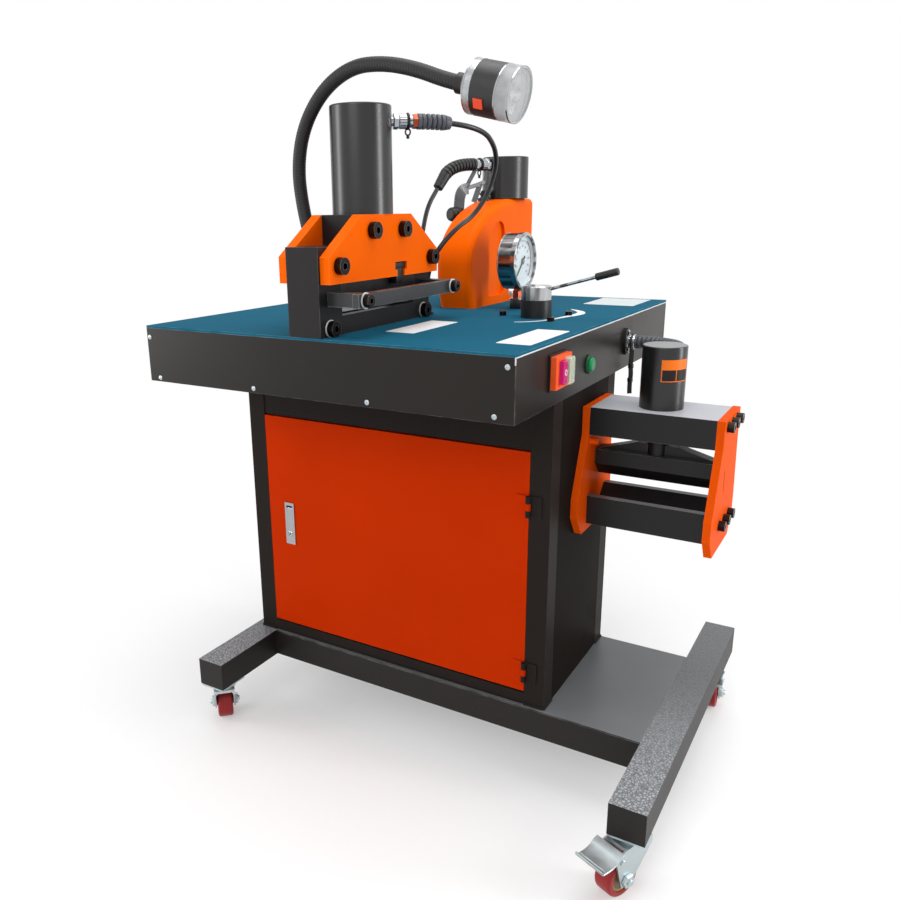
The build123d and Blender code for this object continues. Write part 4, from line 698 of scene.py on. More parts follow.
def even(points, spacing, longest=None):
    """Distances and points at an even spacing along a line, up to a length."""
    distances = [0.0]
    places = [points[0].copy()]
    travelled = 0.0
    goal = spacing
    for first, second in zip(points, points[1:]):
        run = (second - first).length
        while travelled + run >= goal and (longest is None or goal <= longest):
            distances.append(goal)
            places.append(first.lerp(second, (goal - travelled) / run))
            goal += spacing
        travelled += run
    return distances, places


def plane(origin, right, up):
    """The matrix of a plane through a point, with the directions of its first two axes."""
    right = Vector(right).normalized()
    up = Vector(up).normalized()
    turn = Matrix((right, up, right.cross(up))).transposed().to_4x4()
    return Matrix.Translation(origin) @ turn


def skin(form, loops, closed=False):
    """Faces over loops of vertices, capped at both ends or closed into a ring."""
    pairs = list(zip(loops, loops[1:]))
    if closed:
        pairs.append((loops[-1], loops[0]))
    for first, second in pairs:
        for here in range(len(first)):
            after = (here + 1) % len(first)
            form.faces.new((first[here], first[after], second[after], second[here]))
    if not closed:
        form.faces.new(list(reversed(loops[0])))
        form.faces.new(loops[-1])


def headings(points):
    """The direction of a line at each of its points."""
    neighbours = zip([points[0], *points], [*points[1:], points[-1]])
    return [(after - before).normalized() for before, after in neighbours]


def add_swept(form, points, radii, sides=20):
    """A round form along points, with one radius or a radius at each."""
    if isinstance(radii, float):
        radii = [radii] * len(points)
    turns = [tau * step / sides for step in range(sides)]
    heading = (points[1] - points[0]).normalized()
    side = heading.orthogonal().normalized()
    loops = []
    for point, radius, along in zip(points, radii, headings(points)):
        side = (heading.rotation_difference(along) @ side).normalized()
        heading = along
        other = along.cross(side)
        loops.append([form.verts.new(point + radius * (cos(a) * side + sin(a) * other)) for a in turns])
    skin(form, loops)


def add_band(form, route, face, width, thick):
    """A flat band along the smooth line of a route."""
    add_strap(form, even(line_of(route), band_spacing)[1], face, width, thick)


def add_strap(form, points, face, widths, thick):
    """A flat strap with rounded edges along points, its broad side facing a direction."""
    if isinstance(widths, float):
        widths = [widths] * len(points)
    loops = []
    for point, width, along in zip(points, widths, headings(points)):
        across = face.cross(along).normalized() * width / 2
        rise = along.cross(across).normalized() * thick / 2
        soft = min(0.25, thick / width / 2)
        corners = ((1 - soft, -1), (1, -0.5), (1, 0.5), (1 - soft, 1))
        section = [*corners, *((-u, -v) for u, v in corners)]
        loops.append([form.verts.new(point + across * u + rise * v) for u, v in section])
    skin(form, loops)


def add_turned(form, place, along, profile, sides=36, flutes=0.0, closed=False):
    """A turned form: distance and radius of each loop about an axis, and its corners where it isn't round.

    Flutes deepen every other vertex; a closed profile makes a ring.
    """
    turn = upward.rotation_difference(Vector(along))
    loops = []
    for distance, radius, *kind in profile:
        loop = []
        for step in range(sides):
            angle = tau * step / sides
            reach = radius - flutes * (step % 2)
            if kind:
                part = tau / kind[0]
                reach = radius * cos(part / 2) / cos(angle % part - part / 2)
            point = Vector((reach * cos(angle), reach * sin(angle), distance))
            loop.append(form.verts.new(place + turn @ point))
        loops.append(loop)
    skin(form, loops, closed)


def add_collar(form, place, along, start, end, radius, flutes=0.0, bevel=0.0008, sides=48, corners=()):
    """A round collar between two distances along an axis, with softened ends."""
    waist = radius - bevel
    ends = ((start, waist), (start + bevel, radius), (end - bevel, radius), (end, waist))
    add_turned(form, place, along, [(*loop, *corners) for loop in ends], sides, flutes)


def add_nut(form, place, along, start, end, radius):
    """A hexagon between two distances along an axis, with its corners turned down."""
    add_collar(form, place, along, start, end, radius, bevel=0.0012, sides=36, corners=(6,))


def add_ring(form, place, along, start, end, inner, outer):
    """A square-edged ring between two distances along an axis and two radii."""
    profile = ((start, inner), (start, outer), (end, outer), (end, inner))
    add_turned(form, place, along, profile, 60, closed=True)


def add_screw(form, seat, along, radius, height, socket):
    """A socket-head screw on its seat, with a hexagon socket."""
    profile = (
        (-0.0005, radius),
        (height - 0.0010, radius),
        (height, radius - 0.0010),
        (height, socket, 6),
        (height * 0.45, socket * 0.97, 6),
    )
    add_turned(form, seat, along, profile)


def add_washer(form, seat, along, radius, hole, thick=0.0012):
    """A flat ring on a seat."""
    sunk = -0.0002
    soft = thick * 0.4
    profile = ((sunk, hole), (sunk, radius), (thick - soft, radius), (thick, radius - soft), (thick, hole))
    add_turned(form, seat, along, profile, closed=True)


def add_block(form, low, high, soft=0.0005):
    """A block between two corners, with softened edges."""
    low = Vector(low)
    high = Vector(high)
    place = Matrix.Translation((low + high) / 2) @ Matrix.Diagonal((*(high - low), 1))
    made = bmesh.ops.create_cube(form, size=1.0, matrix=place)
    edges = {edge for vertex in made["verts"] for edge in vertex.link_edges}
    bmesh.ops.bevel(form, geom=list(edges), offset=soft, segments=2, affect="EDGES", profile=0.5)


def add_layers(form, place, layers, closed=False):
    """A form over outlines, each at its level above a plane."""
    loops = []
    for outline, level in layers:
        loops.append([form.verts.new(place @ Vector((*point, level))) for point in outline])
    skin(form, loops, closed)


def add_sheet(form, outline, rise, place):
    """A flat sheet from an outline in a plane, raised along the plane's third axis."""
    add_layers(form, place, ((outline, 0.0), (outline, rise)))


def add_cup(form, place, width, height, corner, depth, wall):
    """A thin-walled cover, open to its plane and closed at its front."""
    layers = []
    for level, inset in (
        (depth - wall, wall * 2),
        (depth - wall, wall),
        (0.0, wall),
        (0.0, 0.0),
        (depth - wall, 0.0),
        (depth, wall),
    ):
        outline = rounded_outline(width - 2 * inset, height - 2 * inset, corner - inset * 0.5)
        layers.append((outline, level))
    add_layers(form, place, layers)


def add_arc(form, place, inner, outer, start, end, rise, steps=40):
    """A flat arc in a plane, between two radii and two angles in degrees."""
    turns = [radians(start + (end - start) * step / steps) for step in range(steps + 1)]
    outline = [(outer * cos(a), outer * sin(a)) for a in turns]
    outline += [(inner * cos(a), inner * sin(a)) for a in reversed(turns)]
    add_sheet(form, outline, rise, place)


def add_patch(form, axis_place, radius, start, end, low, high, rise, steps=16):
    """A thin sheet bent round an upright cylinder, between two heights and two degrees from its front."""
    foot = Vector((axis_place.x, axis_place.y, 0))
    corners = ((radius, low), (radius + rise, low), (radius + rise, high), (radius, high))
    loops = []
    for step in range(steps + 1):
        angle = radians(start + (end - start) * step / steps)
        out = Vector((sin(angle), -cos(angle), 0))
        loops.append([form.verts.new(foot + out * reach + upward * level) for reach, level in corners])
    skin(form, loops)


def rounded_outline(width, height, corner, steps=5):
    """A rectangle about the origin with round corners."""
    outline = []
    for quarter, (across, up) in enumerate(((1, 1), (-1, 1), (-1, -1), (1, -1))):
        for step in range(steps + 1):
            angle = (quarter + step / steps) * pi / 2
            outline.append((
                across * (width / 2 - corner) + corner * cos(angle),
                up * (height / 2 - corner) + corner * sin(angle),
            ))
    return outline


def add_piece(name, form, finish, body="machine", replaces=None):
    """Finish a form as a piece that rides on a body."""
    bmesh.ops.recalc_face_normals(form, faces=form.faces)
    mesh = bpy.data.meshes.new(name)
    form.to_mesh(mesh)
    form.free()
    mesh.shade_smooth()
    mesh.set_sharp_from_angle(angle=sharp_angle)
    mesh.materials.append(finishes[finish])
    settle(add_object(name, mesh), body, replaces)


def add_fitting(name, form, finish):
    """A piece of the hydraulic fittings."""
    add_piece(name, form, finish, replaces="hydraulic_fittings")


def right_face(node):
    """The middle of a node's right face."""
    low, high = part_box(node)
    middle = (low + high) / 2
    return Vector((high.x, middle.y, middle.z))


def make_hose(name, route, node):
    """A free hose along its route, held at the coupler and at the table's grommet."""
    curve = nurbs(name, route)
    curve.bevel_depth = hose_diameter / 2
    curve.bevel_resolution = 5
    curve.use_fill_caps = True
    curve.materials.append(finishes["hose_black"])
    hose = add_object(name, curve)
    settle(hose, replaces=node)


def make_guard(name, route, length, finish, sleeve):
    """A ribbed bend guard over the first stretch of a hose: a plain cuff, round ribs and a plain sleeve."""
    distances, points = even(line_of(route), guard_spacing, length)
    cuff = 0.006
    ribbed = length - cuff - sleeve
    ribs = round(ribbed / guard_pitch)
    radii = []
    for distance in distances:
        share = (distance - cuff) / ribbed
        if share < 0:
            radii.append(guard_rib)
        elif share > 1:
            tip = (distance - cuff - ribbed) / sleeve
            radii.append(guard_rib * (0.96 - 0.16 * tip) if tip < 0.97 else guard_rib * 0.62)
        else:
            wave = abs(sin(pi * share * ribs))
            radii.append(guard_groove + (guard_rib - guard_groove) * min(1.0, wave * 1.5))
    form = bmesh.new()
    add_swept(form, points, radii, 24)
    add_piece(name, form, finish, replaces="hose_guards")


def make_coupler(name, port, along, length, nut_finish):
    """A quick coupler from its port: hexagon, knurled collar, tether ring, sleeve and hose nut."""
    scale = length / coupler_length
    bright = bmesh.new()
    add_collar(bright, port, along, -0.002, 0.0035, 0.0080)
    add_nut(bright, port, along, 0.003, 0.0125 * scale, 0.0130)
    add_collar(bright, port, along, 0.0125 * scale, 0.026 * scale, 0.0122, 0.0005)
    add_collar(bright, port, along, 0.025 * scale, 0.0365 * scale, 0.0102)
    add_fitting(name, bright, "chrome")
    ring = bmesh.new()
    add_collar(ring, port, along, 0.0268 * scale, 0.0305 * scale, 0.0136)
    middle = port + along * 0.0287 * scale - upward * 0.0165
    turns = [tau * step / 20 for step in range(21)]
    loop = [middle + upward * 0.0052 * cos(turn) + along * 0.0042 * sin(turn) for turn in turns]
    add_swept(ring, loop, 0.0014, 10)
    add_collar(ring, middle - upward * 0.0046, -upward, 0.0, 0.0060, 0.0026)
    add_fitting(f"{name}_ring", ring, "moulded_black")
    nut = bmesh.new()
    add_nut(nut, port, along, 0.036 * scale, length + 0.0015, 0.0118)
    add_fitting(f"{name}_nut", nut, nut_finish)


def make_bulkhead():
    """The bender's union in the skirt: a two-screw flange, a knurled coupler and its tether."""
    flange = bmesh.new()
    outline = []
    for step in range(48):
        angle = tau * step / 48
        reach = 0.0150 + 0.010 * abs(sin(angle)) ** 3
        outline.append((reach * cos(angle), reach * sin(angle)))
    add_sheet(flange, outline, 0.0055, plane(bulkhead, to_back, upward))
    add_nut(flange, bulkhead, to_right, -0.014, -0.002, 0.0150)
    add_collar(flange, bulkhead, to_right, 0.0128, 0.0168, 0.0152)
    add_fitting("bulkhead_flange", flange, "moulded_black")
    bright = bmesh.new()
    add_nut(bright, bulkhead, to_right, 0.0040, 0.0090, 0.0150)
    add_collar(bright, bulkhead, to_right, 0.0085, 0.0200, 0.0140, 0.0005)
    for rise in (-0.0185, 0.0185):
        add_screw(bright, bulkhead + upward * rise + to_right * 0.0055, to_right, 0.0036, 0.0030, 0.0018)
    add_fitting("bulkhead_union", bright, "chrome")
    strap = bmesh.new()
    ring = bulkhead + to_right * 0.0138
    sways = (0.0, 0.0008, -0.0008, 0.0012, -0.0006, 0.0004)
    drops = (0.014, 0.024, 0.044, 0.062, 0.080, 0.098)
    hanging = [ring + Vector((sway, 0, -drop)) for sway, drop in zip(sways, drops)]
    add_band(strap, hanging, front_right, 0.0085, 0.0030)
    for drop in (0.046, 0.072):
        add_collar(strap, ring - upward * drop, upward, -0.0040, 0.0040, 0.0052)
    add_piece("bulkhead_tether", strap, "moulded_black")


def make_cap_clip():
    """The punch coupler's dust cap: wire bail, bright clip and black cap on the casting's far side."""

    def spot(out, height):
        return punch_port + punch_out * (punch_radius + out) + upward * (height - punch_port.z)

    bail = bmesh.new()
    bands = (
        ((0.040, 1.064), (0.048, 1.052), (0.058, 1.040), (0.066, 1.026)),
        ((0.010, 1.064), (0.010, 1.046), (0.016, 1.036), (0.066, 1.026)),
        ((0.026, 1.036), (0.034, 1.018), (0.044, 0.998)),
    )
    for band, width in zip(bands, (0.0085, 0.0085, 0.0115)):
        add_band(bail, [spot(*point) for point in band], front_right, width, 0.0024)
    add_piece("cap_bail", bail, "clip_steel")
    clip = bmesh.new()
    clip_end = spot(0.087, 0.980)
    route = (spot(0.060, 1.0255), spot(0.074, 1.025), spot(0.083, 1.013), spot(0.086, 0.998), clip_end)
    add_band(clip, route, front_right, 0.0225, 0.0026)
    add_piece("cap_clip", clip, "clip_steel")
    cap = bmesh.new()
    middle = Vector((casting_low.x - 0.0125, 0.248, 0.974))
    profile = (
        (-0.0125, 0.0120),
        (-0.0110, 0.0145),
        (0.0060, 0.0145),
        (0.0100, 0.0128),
        (0.0120, 0.0090),
        (0.0120, 0.0070),
    )
    add_turned(cap, middle, punch_out, profile, 40, 0.0004)
    tongue = (clip_end + upward * 0.006, clip_end - upward * 0.004, middle + upward * 0.008)
    add_band(cap, tongue, front_right, 0.0175, 0.0040)
    add_block(cap, (casting_low.x - 0.004, 0.240, 0.966), (casting_low.x + 0.001, 0.256, 0.980), 0.0015)
    add_piece("dust_cap", cap, "moulded_black")


def make_casting_plug():
    """The black plug on the punch's casting."""
    plug = bmesh.new()
    seat = Vector((-0.1470, 0.3270, 1.0005))
    profile = (
        (-0.004, 0.0145),
        (0.0045, 0.0145),
        (0.0060, 0.0130),
        (0.0065, 0.0088),
        (0.0190, 0.0082),
        (0.0215, 0.0055),
    )
    add_turned(plug, seat, upward, profile)
    add_collar(plug, seat, upward, 0.0115, 0.0165, 0.0105)
    add_piece("casting_plug", plug, "moulded_black")


def make_dial():
    """The gauge's dial with its marks, numbers and arc."""
    face = bmesh.new()
    add_turned(face, gauge_dial, to_right, ((0.0, 0.0470), (0.0004, 0.0470), (0.0005, 0.0467)), 72)
    wall = ((0.0003, 0.0468), (0.0003, 0.0474), (0.0044, 0.0474), (0.0044, 0.0470))
    add_turned(face, gauge_dial, to_right, wall, 72, closed=True)
    add_piece("dial_face", face, "dial_paper")
    marks = bmesh.new()
    print_plane = plane(gauge_dial + to_right * 0.00045, to_back, upward)
    dial_start = 225
    dial_sweep = 270
    steps = 50
    mark_end = 0.0398
    number_reach = 0.0292
    for step in range(steps + 1):
        angle = radians(dial_start - dial_sweep * step / steps)
        out = Vector((cos(angle), sin(angle)))
        side = Vector((-out.y, out.x))
        inner, half = (0.0345, 0.0005) if step % 5 == 0 else (0.0370, 0.00028)
        corners = ((inner, -half), (mark_end, -half), (mark_end, half), (inner, half))
        add_sheet(marks, [out * reach + side * width for reach, width in corners], 0.00015, print_plane)
    for step in range(11):
        angle = radians(dial_start - dial_sweep * step / 10)
        text = bpy.data.curves.new("number", "FONT")
        text.body = str(step * 10)
        text.size = 0.0068
        text.extrude = 0.00007
        text.align_x = "CENTER"
        text.align_y = "CENTER"
        number = mesh_of(text)
        place = Vector((number_reach * cos(angle), number_reach * sin(angle), 0.00008))
        number.transform(print_plane @ Matrix.Translation(place))
        marks.from_mesh(number)
        bpy.data.meshes.remove(number)
    add_piece("dial_marks", marks, "needle_black")
    arc = bmesh.new()
    dial_end = dial_start - dial_sweep
    add_arc(arc, print_plane, 0.0402, 0.0408, dial_end, dial_start, 0.00012, 90)
    add_arc(arc, print_plane, 0.0414, 0.0448, dial_end, 62, 0.00012)
    add_piece("dial_arc", arc, "dial_red")


def make_gauge_rings():
    """The needle's hub and the bright rings of the gauge's case."""
    hub = bmesh.new()
    hub_place = Vector((needle_high.x, gauge_dial.y, gauge_dial.z))
    add_collar(hub, hub_place, to_right, -0.0002, 0.0008, 0.0028, 0.0, 0.0003)
    add_piece("needle_hub", hub, "chrome", "gauge_needle")
    bezel = bmesh.new()
    middle = Vector((0, gauge_dial.y, gauge_dial.z))
    inner = 0.0532
    for start, end, rise in ((-0.0350, -0.0320, 0.0006), (-0.0075, 0.0026, 0.0012)):
        outer = gauge_radius + rise
        ring = (
            (start, outer - 0.0016),
            (start + 0.0006, outer),
            (end - 0.0010, outer),
            (end, outer - 0.0012),
            (end, inner),
            (start, inner),
        )
        add_turned(bezel, middle, to_right, ring, 72, closed=True)
    add_piece("gauge_rings", bezel, "chrome")


def make_gauge_stem():
    """The gauge's stem with its plate and nut, and the vent plug of its case."""
    block = bmesh.new()
    side = Vector((0.0122, 0.0122, 0))
    add_block(block, gauge_stem - side, gauge_stem + side + upward * 0.0185, 0.0014)
    angle = radians(38)
    out = Vector((0, cos(angle), sin(angle)))
    vent = Vector((-0.010, gauge_dial.y, gauge_dial.z)) + out * gauge_radius
    profile = ((-0.001, 0.0062), (0.0018, 0.0062), (0.0026, 0.0050), (0.0050, 0.0046), (0.0062, 0.0034))
    add_turned(block, vent, out, profile)
    add_fitting("gauge_stem_block", block, "valve_black")
    strip = bmesh.new()
    side = Vector((0.0128, 0.0128, 0))
    add_block(strip, gauge_stem - side + upward * 0.018, gauge_stem + side + upward * 0.0205, 0.0006)
    add_fitting("gauge_stem_plate", strip, "chrome")
    nut = bmesh.new()
    add_nut(nut, gauge_stem, upward, 0.0202, 0.0350, 0.0110)
    add_collar(nut, gauge_stem, upward, 0.0345, 0.0400, 0.0080)
    add_fitting("gauge_stem_nut", nut, "copper_nut")


def make_grommets():
    """Rubber boots where the two hoses go into the table."""
    flange = ((0.0, 0.0135), (0.0030, 0.0135), (0.0040, 0.0125), (0.0050, 0.0100))
    for name, place, height in (
        ("cutter_boot", cutter_grommet, 0.024),
        ("punch_boot", punch_grommet, 0.018),
    ):
        boot = bmesh.new()
        add_turned(boot, place, upward, (*flange, (height * 0.6, 0.0092), (height, 0.0064)))
        add_collar(boot, place, -upward, 0.003, 0.008, 0.0130)
        add_piece(name, boot, "moulded_black", replaces="hydraulic_fittings")


def make_screws():
    """Screws and washers that the solids leave out, on the guide bar, cutter foot and skirt, and a key."""
    bar_reach = 0.1415
    foot_reach = 0.146
    foot_level = 0.805
    left_level = 0.700
    heads = bmesh.new()
    washers = bmesh.new()
    for side in (-1, 1):
        bar_end = Vector((bar_high.x, bar_middle.y + side * bar_reach, bar_middle.z))
        add_washer(washers, bar_end, to_right, 0.0128, 0.0085)
        add_screw(heads, bar_end + to_right * 0.001, to_right, 0.0105, 0.0100, 0.0052)
        foot = Vector((cutter_face, bar_middle.y + side * foot_reach, foot_level))
        add_washer(washers, foot, to_right, 0.0142, 0.0105, 0.0016)
    add_piece("bar_screws", heads, "screw_oxide")
    add_piece("bar_washers", washers, "trim_pale")
    lefts = (-0.200, 0.000, 0.200, 0.400)
    seats = [(Vector((skirt_low.x, place, left_level)), -to_right) for place in lefts]
    for across, level in (
        (-0.501, 0.7715),
        (-0.483, 0.699),
        (-0.263, 0.700),
        (-0.035, 0.700),
        (0.180, 0.7015),
        (0.199, 0.774),
    ):
        seats.append((Vector((across, skirt_low.y, level)), -to_back))
        seats.append((Vector((across, skirt_high.y, level)), to_back))
    small = bmesh.new()
    head = ((-0.0004, 0.0042), (0.0008, 0.0042), (0.0018, 0.0030), (0.0020, 0.0015, 6), (0.0008, 0.0014, 6))
    for seat, out in seats:
        add_turned(small, seat, out, head)
    add_piece("skirt_screws", small, "zinc")
    key = bmesh.new()
    add_block(key, (-0.1185, -0.1095, 0.8870), (-0.1040, -0.0745, 0.8975), 0.0012)
    add_block(key, (-0.1185, -0.1025, 0.8620), (-0.1040, -0.0815, 0.8880), 0.0012)
    add_piece("plate_key", key, "moulded_black")


def make_labels():
    """Bare labels on the worktop, and the valve's sweep mark."""
    for name, middle, size, finish in (
        ("label_cutter", (-0.047, -0.112), (0.054, 0.156), "label_white"),
        ("label_corner", (0.1685, -0.141), (0.056, 0.163), "label_white"),
        ("label_back", (0.130, 0.400), (0.104, 0.134), "label_grey"),
    ):
        sheet = bmesh.new()
        place = plane((*middle, table_height), to_right, to_back)
        add_sheet(sheet, rounded_outline(*size, 0.003), 0.0003, place)
        add_piece(name, sheet, finish)
    sweep = bmesh.new()
    across = (0.069, 0.099, 0.115, 0.1225, 0.1310, 0.1300, 0.1130, 0.0880)
    depths = (0.008, 0.026, 0.070, 0.115, 0.150, 0.185, 0.212, 0.234)
    stops = (0.0030, 0.0050, 0.0065, 0.0080, 0.0120, 0.0160, 0.0120, 0.0020)
    route = [(x, y, table_height + 0.0002) for x, y in zip(across, depths)]
    points = even(line_of(route), 0.003)[1]
    widths = []
    for here in range(len(points)):
        part = here / (len(points) - 1) * (len(stops) - 1.001)
        first = int(part)
        widths.append(stops[first] + (stops[first + 1] - stops[first]) * (part - first))
    add_strap(sweep, points, upward, widths, 0.0005)
    add_piece("valve_sweep", sweep, "label_white")


def make_bender_label():
    """The bare label on the bender's cylinder, with its two dark panels."""
    backing = bmesh.new()
    label_low = 0.7090
    label_high = 0.7450
    add_patch(backing, bender_axis, bender_radius, 8, 86, label_low, label_high, 0.0004)
    add_piece("bender_label", backing, "label_orange")
    panels = bmesh.new()
    panel_low = 0.7105
    panel_high = 0.7285
    label_face = bender_radius + 0.0003
    for start, end in ((10.5, 46.0), (48.5, 84.0)):
        add_patch(panels, bender_axis, label_face, start, end, panel_low, panel_high, 0.0003)
    add_piece("bender_label_panels", panels, "label_dark")


def make_skirt_edge_highlights():
    """Pale strips along the top of the skirt's right side and at its front corner: painted highlights of
    those edges.
    """
    trim = bmesh.new()
    face = skirt_high.x + 0.0006
    front = skirt_low.y
    back = skirt_high.y
    add_block(trim, (face - 0.0016, front + 0.002, 0.7862), (face, back - 0.002, 0.7882), 0.0003)
    add_block(trim, (face - 0.0018, front - 0.0005, 0.7770), (face, front + 0.0012, 0.7880), 0.0004)
    add_piece("skirt_edge_highlights", trim, "trim_pale")


def make_neck():
    """The lamp's flexible neck: a close-wound sleeve on its foot and socket."""
    form = bmesh.new()
    distances, points = even(line_of(neck_route), neck_spacing)
    winding = 0.0048
    radii = [0.0112 + 0.00022 * cos(tau * distance / winding) for distance in distances]
    add_swept(form, points, radii, 28)
    add_piece("neck_sleeve", form, "neck_black", replaces="lamp_neck")
    foot = bmesh.new()
    add_turned(foot, lamp_foot, upward, ((0, 0.028), (0.0055, 0.028), (0.008, 0.0255), (0.0082, 0.0165)))
    add_turned(foot, lamp_foot, upward, ((0.004, 0.016), (0.021, 0.016), (0.023, 0.0145), (0.0232, 0.0118)))
    add_collar(foot, lamp_tail, -lamp_along, -0.001, 0.014, 0.0150)
    add_piece("neck_foot", foot, "moulded_black", replaces="lamp_neck")


def make_lamp_front():
    """The lamp's board with its reflector cups and lights, behind the lens."""
    floor = lamp_tail + lamp_along * 0.0632
    circle = 0.0212
    over = lamp_along.cross(to_back)
    turns = [tau * turn / 6 for turn in range(6)]
    spots = [Vector((0, 0, 0)), *(circle * (cos(turn) * to_back + sin(turn) * over) for turn in turns)]
    cups = bmesh.new()
    lights = bmesh.new()
    add_collar(cups, floor, lamp_along, 0.0, 0.0016, 0.0322)
    cup = ((0.0010, 0.0036), (0.0010, 0.0056), (0.0120, 0.0104), (0.0122, 0.0098), (0.0022, 0.0036))
    light = ((0.001, 0.0034), (0.0045, 0.0032), (0.0064, 0.0021), (0.0070, 0.0008))
    for spot in spots:
        add_turned(cups, floor + spot, lamp_along, cup, closed=True)
        add_turned(lights, floor + spot, lamp_along, light, 18)
    add_piece("lamp_reflectors", cups, "reflector")
    add_piece("lamp_lights", lights, "led_pale")
    rings = bmesh.new()
    for start, end in ((0.0140, 0.0160), (0.0250, 0.0264), (0.0656, 0.0672), (0.0868, 0.0890)):
        add_ring(rings, lamp_tail, lamp_along, start, end, 0.0386, 0.0393)
    add_piece("lamp_rings", rings, "chrome")


def make_controls():
    """Key marks, the start key's clear hood, the rims of the keys and the push button's bezel."""
    stop = right_face("stop_button")
    start = right_face("start_button")
    button = right_face("pump_button")
    button.x = skirt_high.x
    housing_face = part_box("switch_housings")[1].x - 0.0002
    key_planes = [plane((housing_face, key.y, key.z), to_back, upward) for key in (stop, start)]
    ring = bmesh.new()
    add_washer(ring, stop, to_right, 0.0046, 0.0033, 0.0003)
    add_piece("stop_mark", ring, "mark_white", "stop_button")
    bar = bmesh.new()
    half = Vector((0.00025, 0.0008, 0.0045))
    middle = start + to_right * 0.00005
    add_block(bar, middle - half, middle + half, 0.0001)
    add_piece("start_mark", bar, "mark_white", "start_button")
    hood = bmesh.new()
    add_cup(hood, key_planes[1], 0.0215, 0.0425, 0.004, 0.0098, 0.0010)
    add_piece("start_hood", hood, "key_hood")
    rims = bmesh.new()
    outer = rounded_outline(0.0212, 0.0420, 0.003)
    inner = rounded_outline(0.0178, 0.0368, 0.002)
    for place in key_planes:
        layers = ((outer, 0.0), (outer, 0.0012), (inner, 0.0012), (inner, 0.0))
        add_layers(rims, place, layers, closed=True)
    add_piece("key_rims", rims, "switch_shell")
    bezel = bmesh.new()
    profile = (
        (0.0004, 0.0119),
        (0.0004, 0.0162),
        (0.0020, 0.0162),
        (0.0042, 0.0150),
        (0.0047, 0.0136),
        (0.0047, 0.0119),
    )
    add_turned(bezel, button, to_right, profile, 48, closed=True)
    add_piece("button_bezel", bezel, "switch_shell")


def make_latch_lock():
    """The latch's lock barrel and its keyway."""
    lock = bmesh.new()
    profile = ((-0.0004, 0.0058), (0.0010, 0.0058), (0.0016, 0.0050), (0.0016, 0.0036), (0.0010, 0.0034))
    add_turned(lock, latch_lock, -to_back, profile, 30)
    add_piece("latch_barrel", lock, "chrome", "latch_paddle")
    slit = bmesh.new()
    middle = latch_lock - to_back * 0.0011
    half = Vector((0.0006, 0.0003, 0.0026))
    add_block(slit, middle - half, middle + half, 0.0001)
    add_piece("latch_keyway", slit, "moulded_black", "latch_paddle")


def make_pedal(caster, swivel, axle):
    """A caster's pressed brake pedal on its pin."""
    side_view = (
        (0.0455, 0.0878),
        (0.0530, 0.0858),
        (0.0600, 0.0800),
        (0.0680, 0.0772),
        (0.0790, 0.0764),
        (0.0860, 0.0766),
        (0.0900, 0.0772),
        (0.0918, 0.0800),
        (0.0906, 0.0826),
    )
    ear = (
        (0.0405, 0.0705),
        (0.0500, 0.0690),
        (0.0600, 0.0755),
        (0.0590, 0.0800),
        (0.0530, 0.0850),
        (0.0455, 0.0872),
        (0.0405, 0.0820),
    )
    node = f"brake_pedal_{caster}"
    body = f"pedal_{caster}"
    pivot = Vector(joints[node]["pos_m"])
    trail = axle.cross(upward)

    def spot(out, up, across=0.0):
        return swivel + trail * out + upward * up + axle * across

    pedal = bmesh.new()
    add_band(pedal, [spot(*point) for point in side_view], axle.cross(trail), pedal_width, 0.0024)
    for out, up in ((0.0872, 0.0776), (0.0830, 0.0773)):
        crease = [spot(out, up, across) for across in (-0.0245, -0.0120, 0.0, 0.0120, 0.0245)]
        add_swept(pedal, crease, [0.0006, 0.0013, 0.0014, 0.0013, 0.0006], 10)
    for side in (-1, 1):
        cheek = plane(swivel + axle * (side * 0.0228 + 0.0010), trail, upward)
        add_sheet(pedal, ear, 0.0020, cheek)
        add_collar(pedal, pivot + axle * side * 0.0235, axle * side, -0.0035, 0.0030, 0.0048)
    add_piece(f"pedal_plate_{caster}", pedal, "zinc", body, node)
    pin = bmesh.new()
    add_collar(pin, pivot, axle, -0.0232, 0.0232, 0.0029)
    add_piece(f"pedal_pin_{caster}", pin, "zinc", body, node)


def make_casters():
    """Plate bolts, axle nuts and brake pedals of the casters."""
    plate_under = 0.0932
    bolts = bmesh.new()
    for caster in casters:
        swivel = Vector((*joints[f"caster_swivel_{caster}"]["pos_m"][:2], 0))
        spin = joints[f"wheel_spin_{caster}"]
        axle = Vector(spin["axis"])
        for across in (-0.019, 0.019):
            for along in (-0.024, 0.024):
                seat = swivel + Vector((across, along, plate_under))
                add_nut(bolts, seat, -upward, 0.0, 0.0042, 0.0062)
        nuts = bmesh.new()
        for side in (-1, 1):
            seat = Vector(spin["pos_m"]) + axle * side * cheek_reach
            add_nut(nuts, seat, axle * side, -0.0003, 0.0058, 0.0112)
            add_collar(nuts, seat, axle * side, 0.005, 0.0092, 0.0052)
        add_piece(f"axle_nuts_{caster}", nuts, "zinc", f"caster_{caster}")
        if f"brake_pedal_{caster}" in nodes:
            make_pedal(caster, swivel, axle)
    add_piece("caster_bolts", bolts, "zinc")


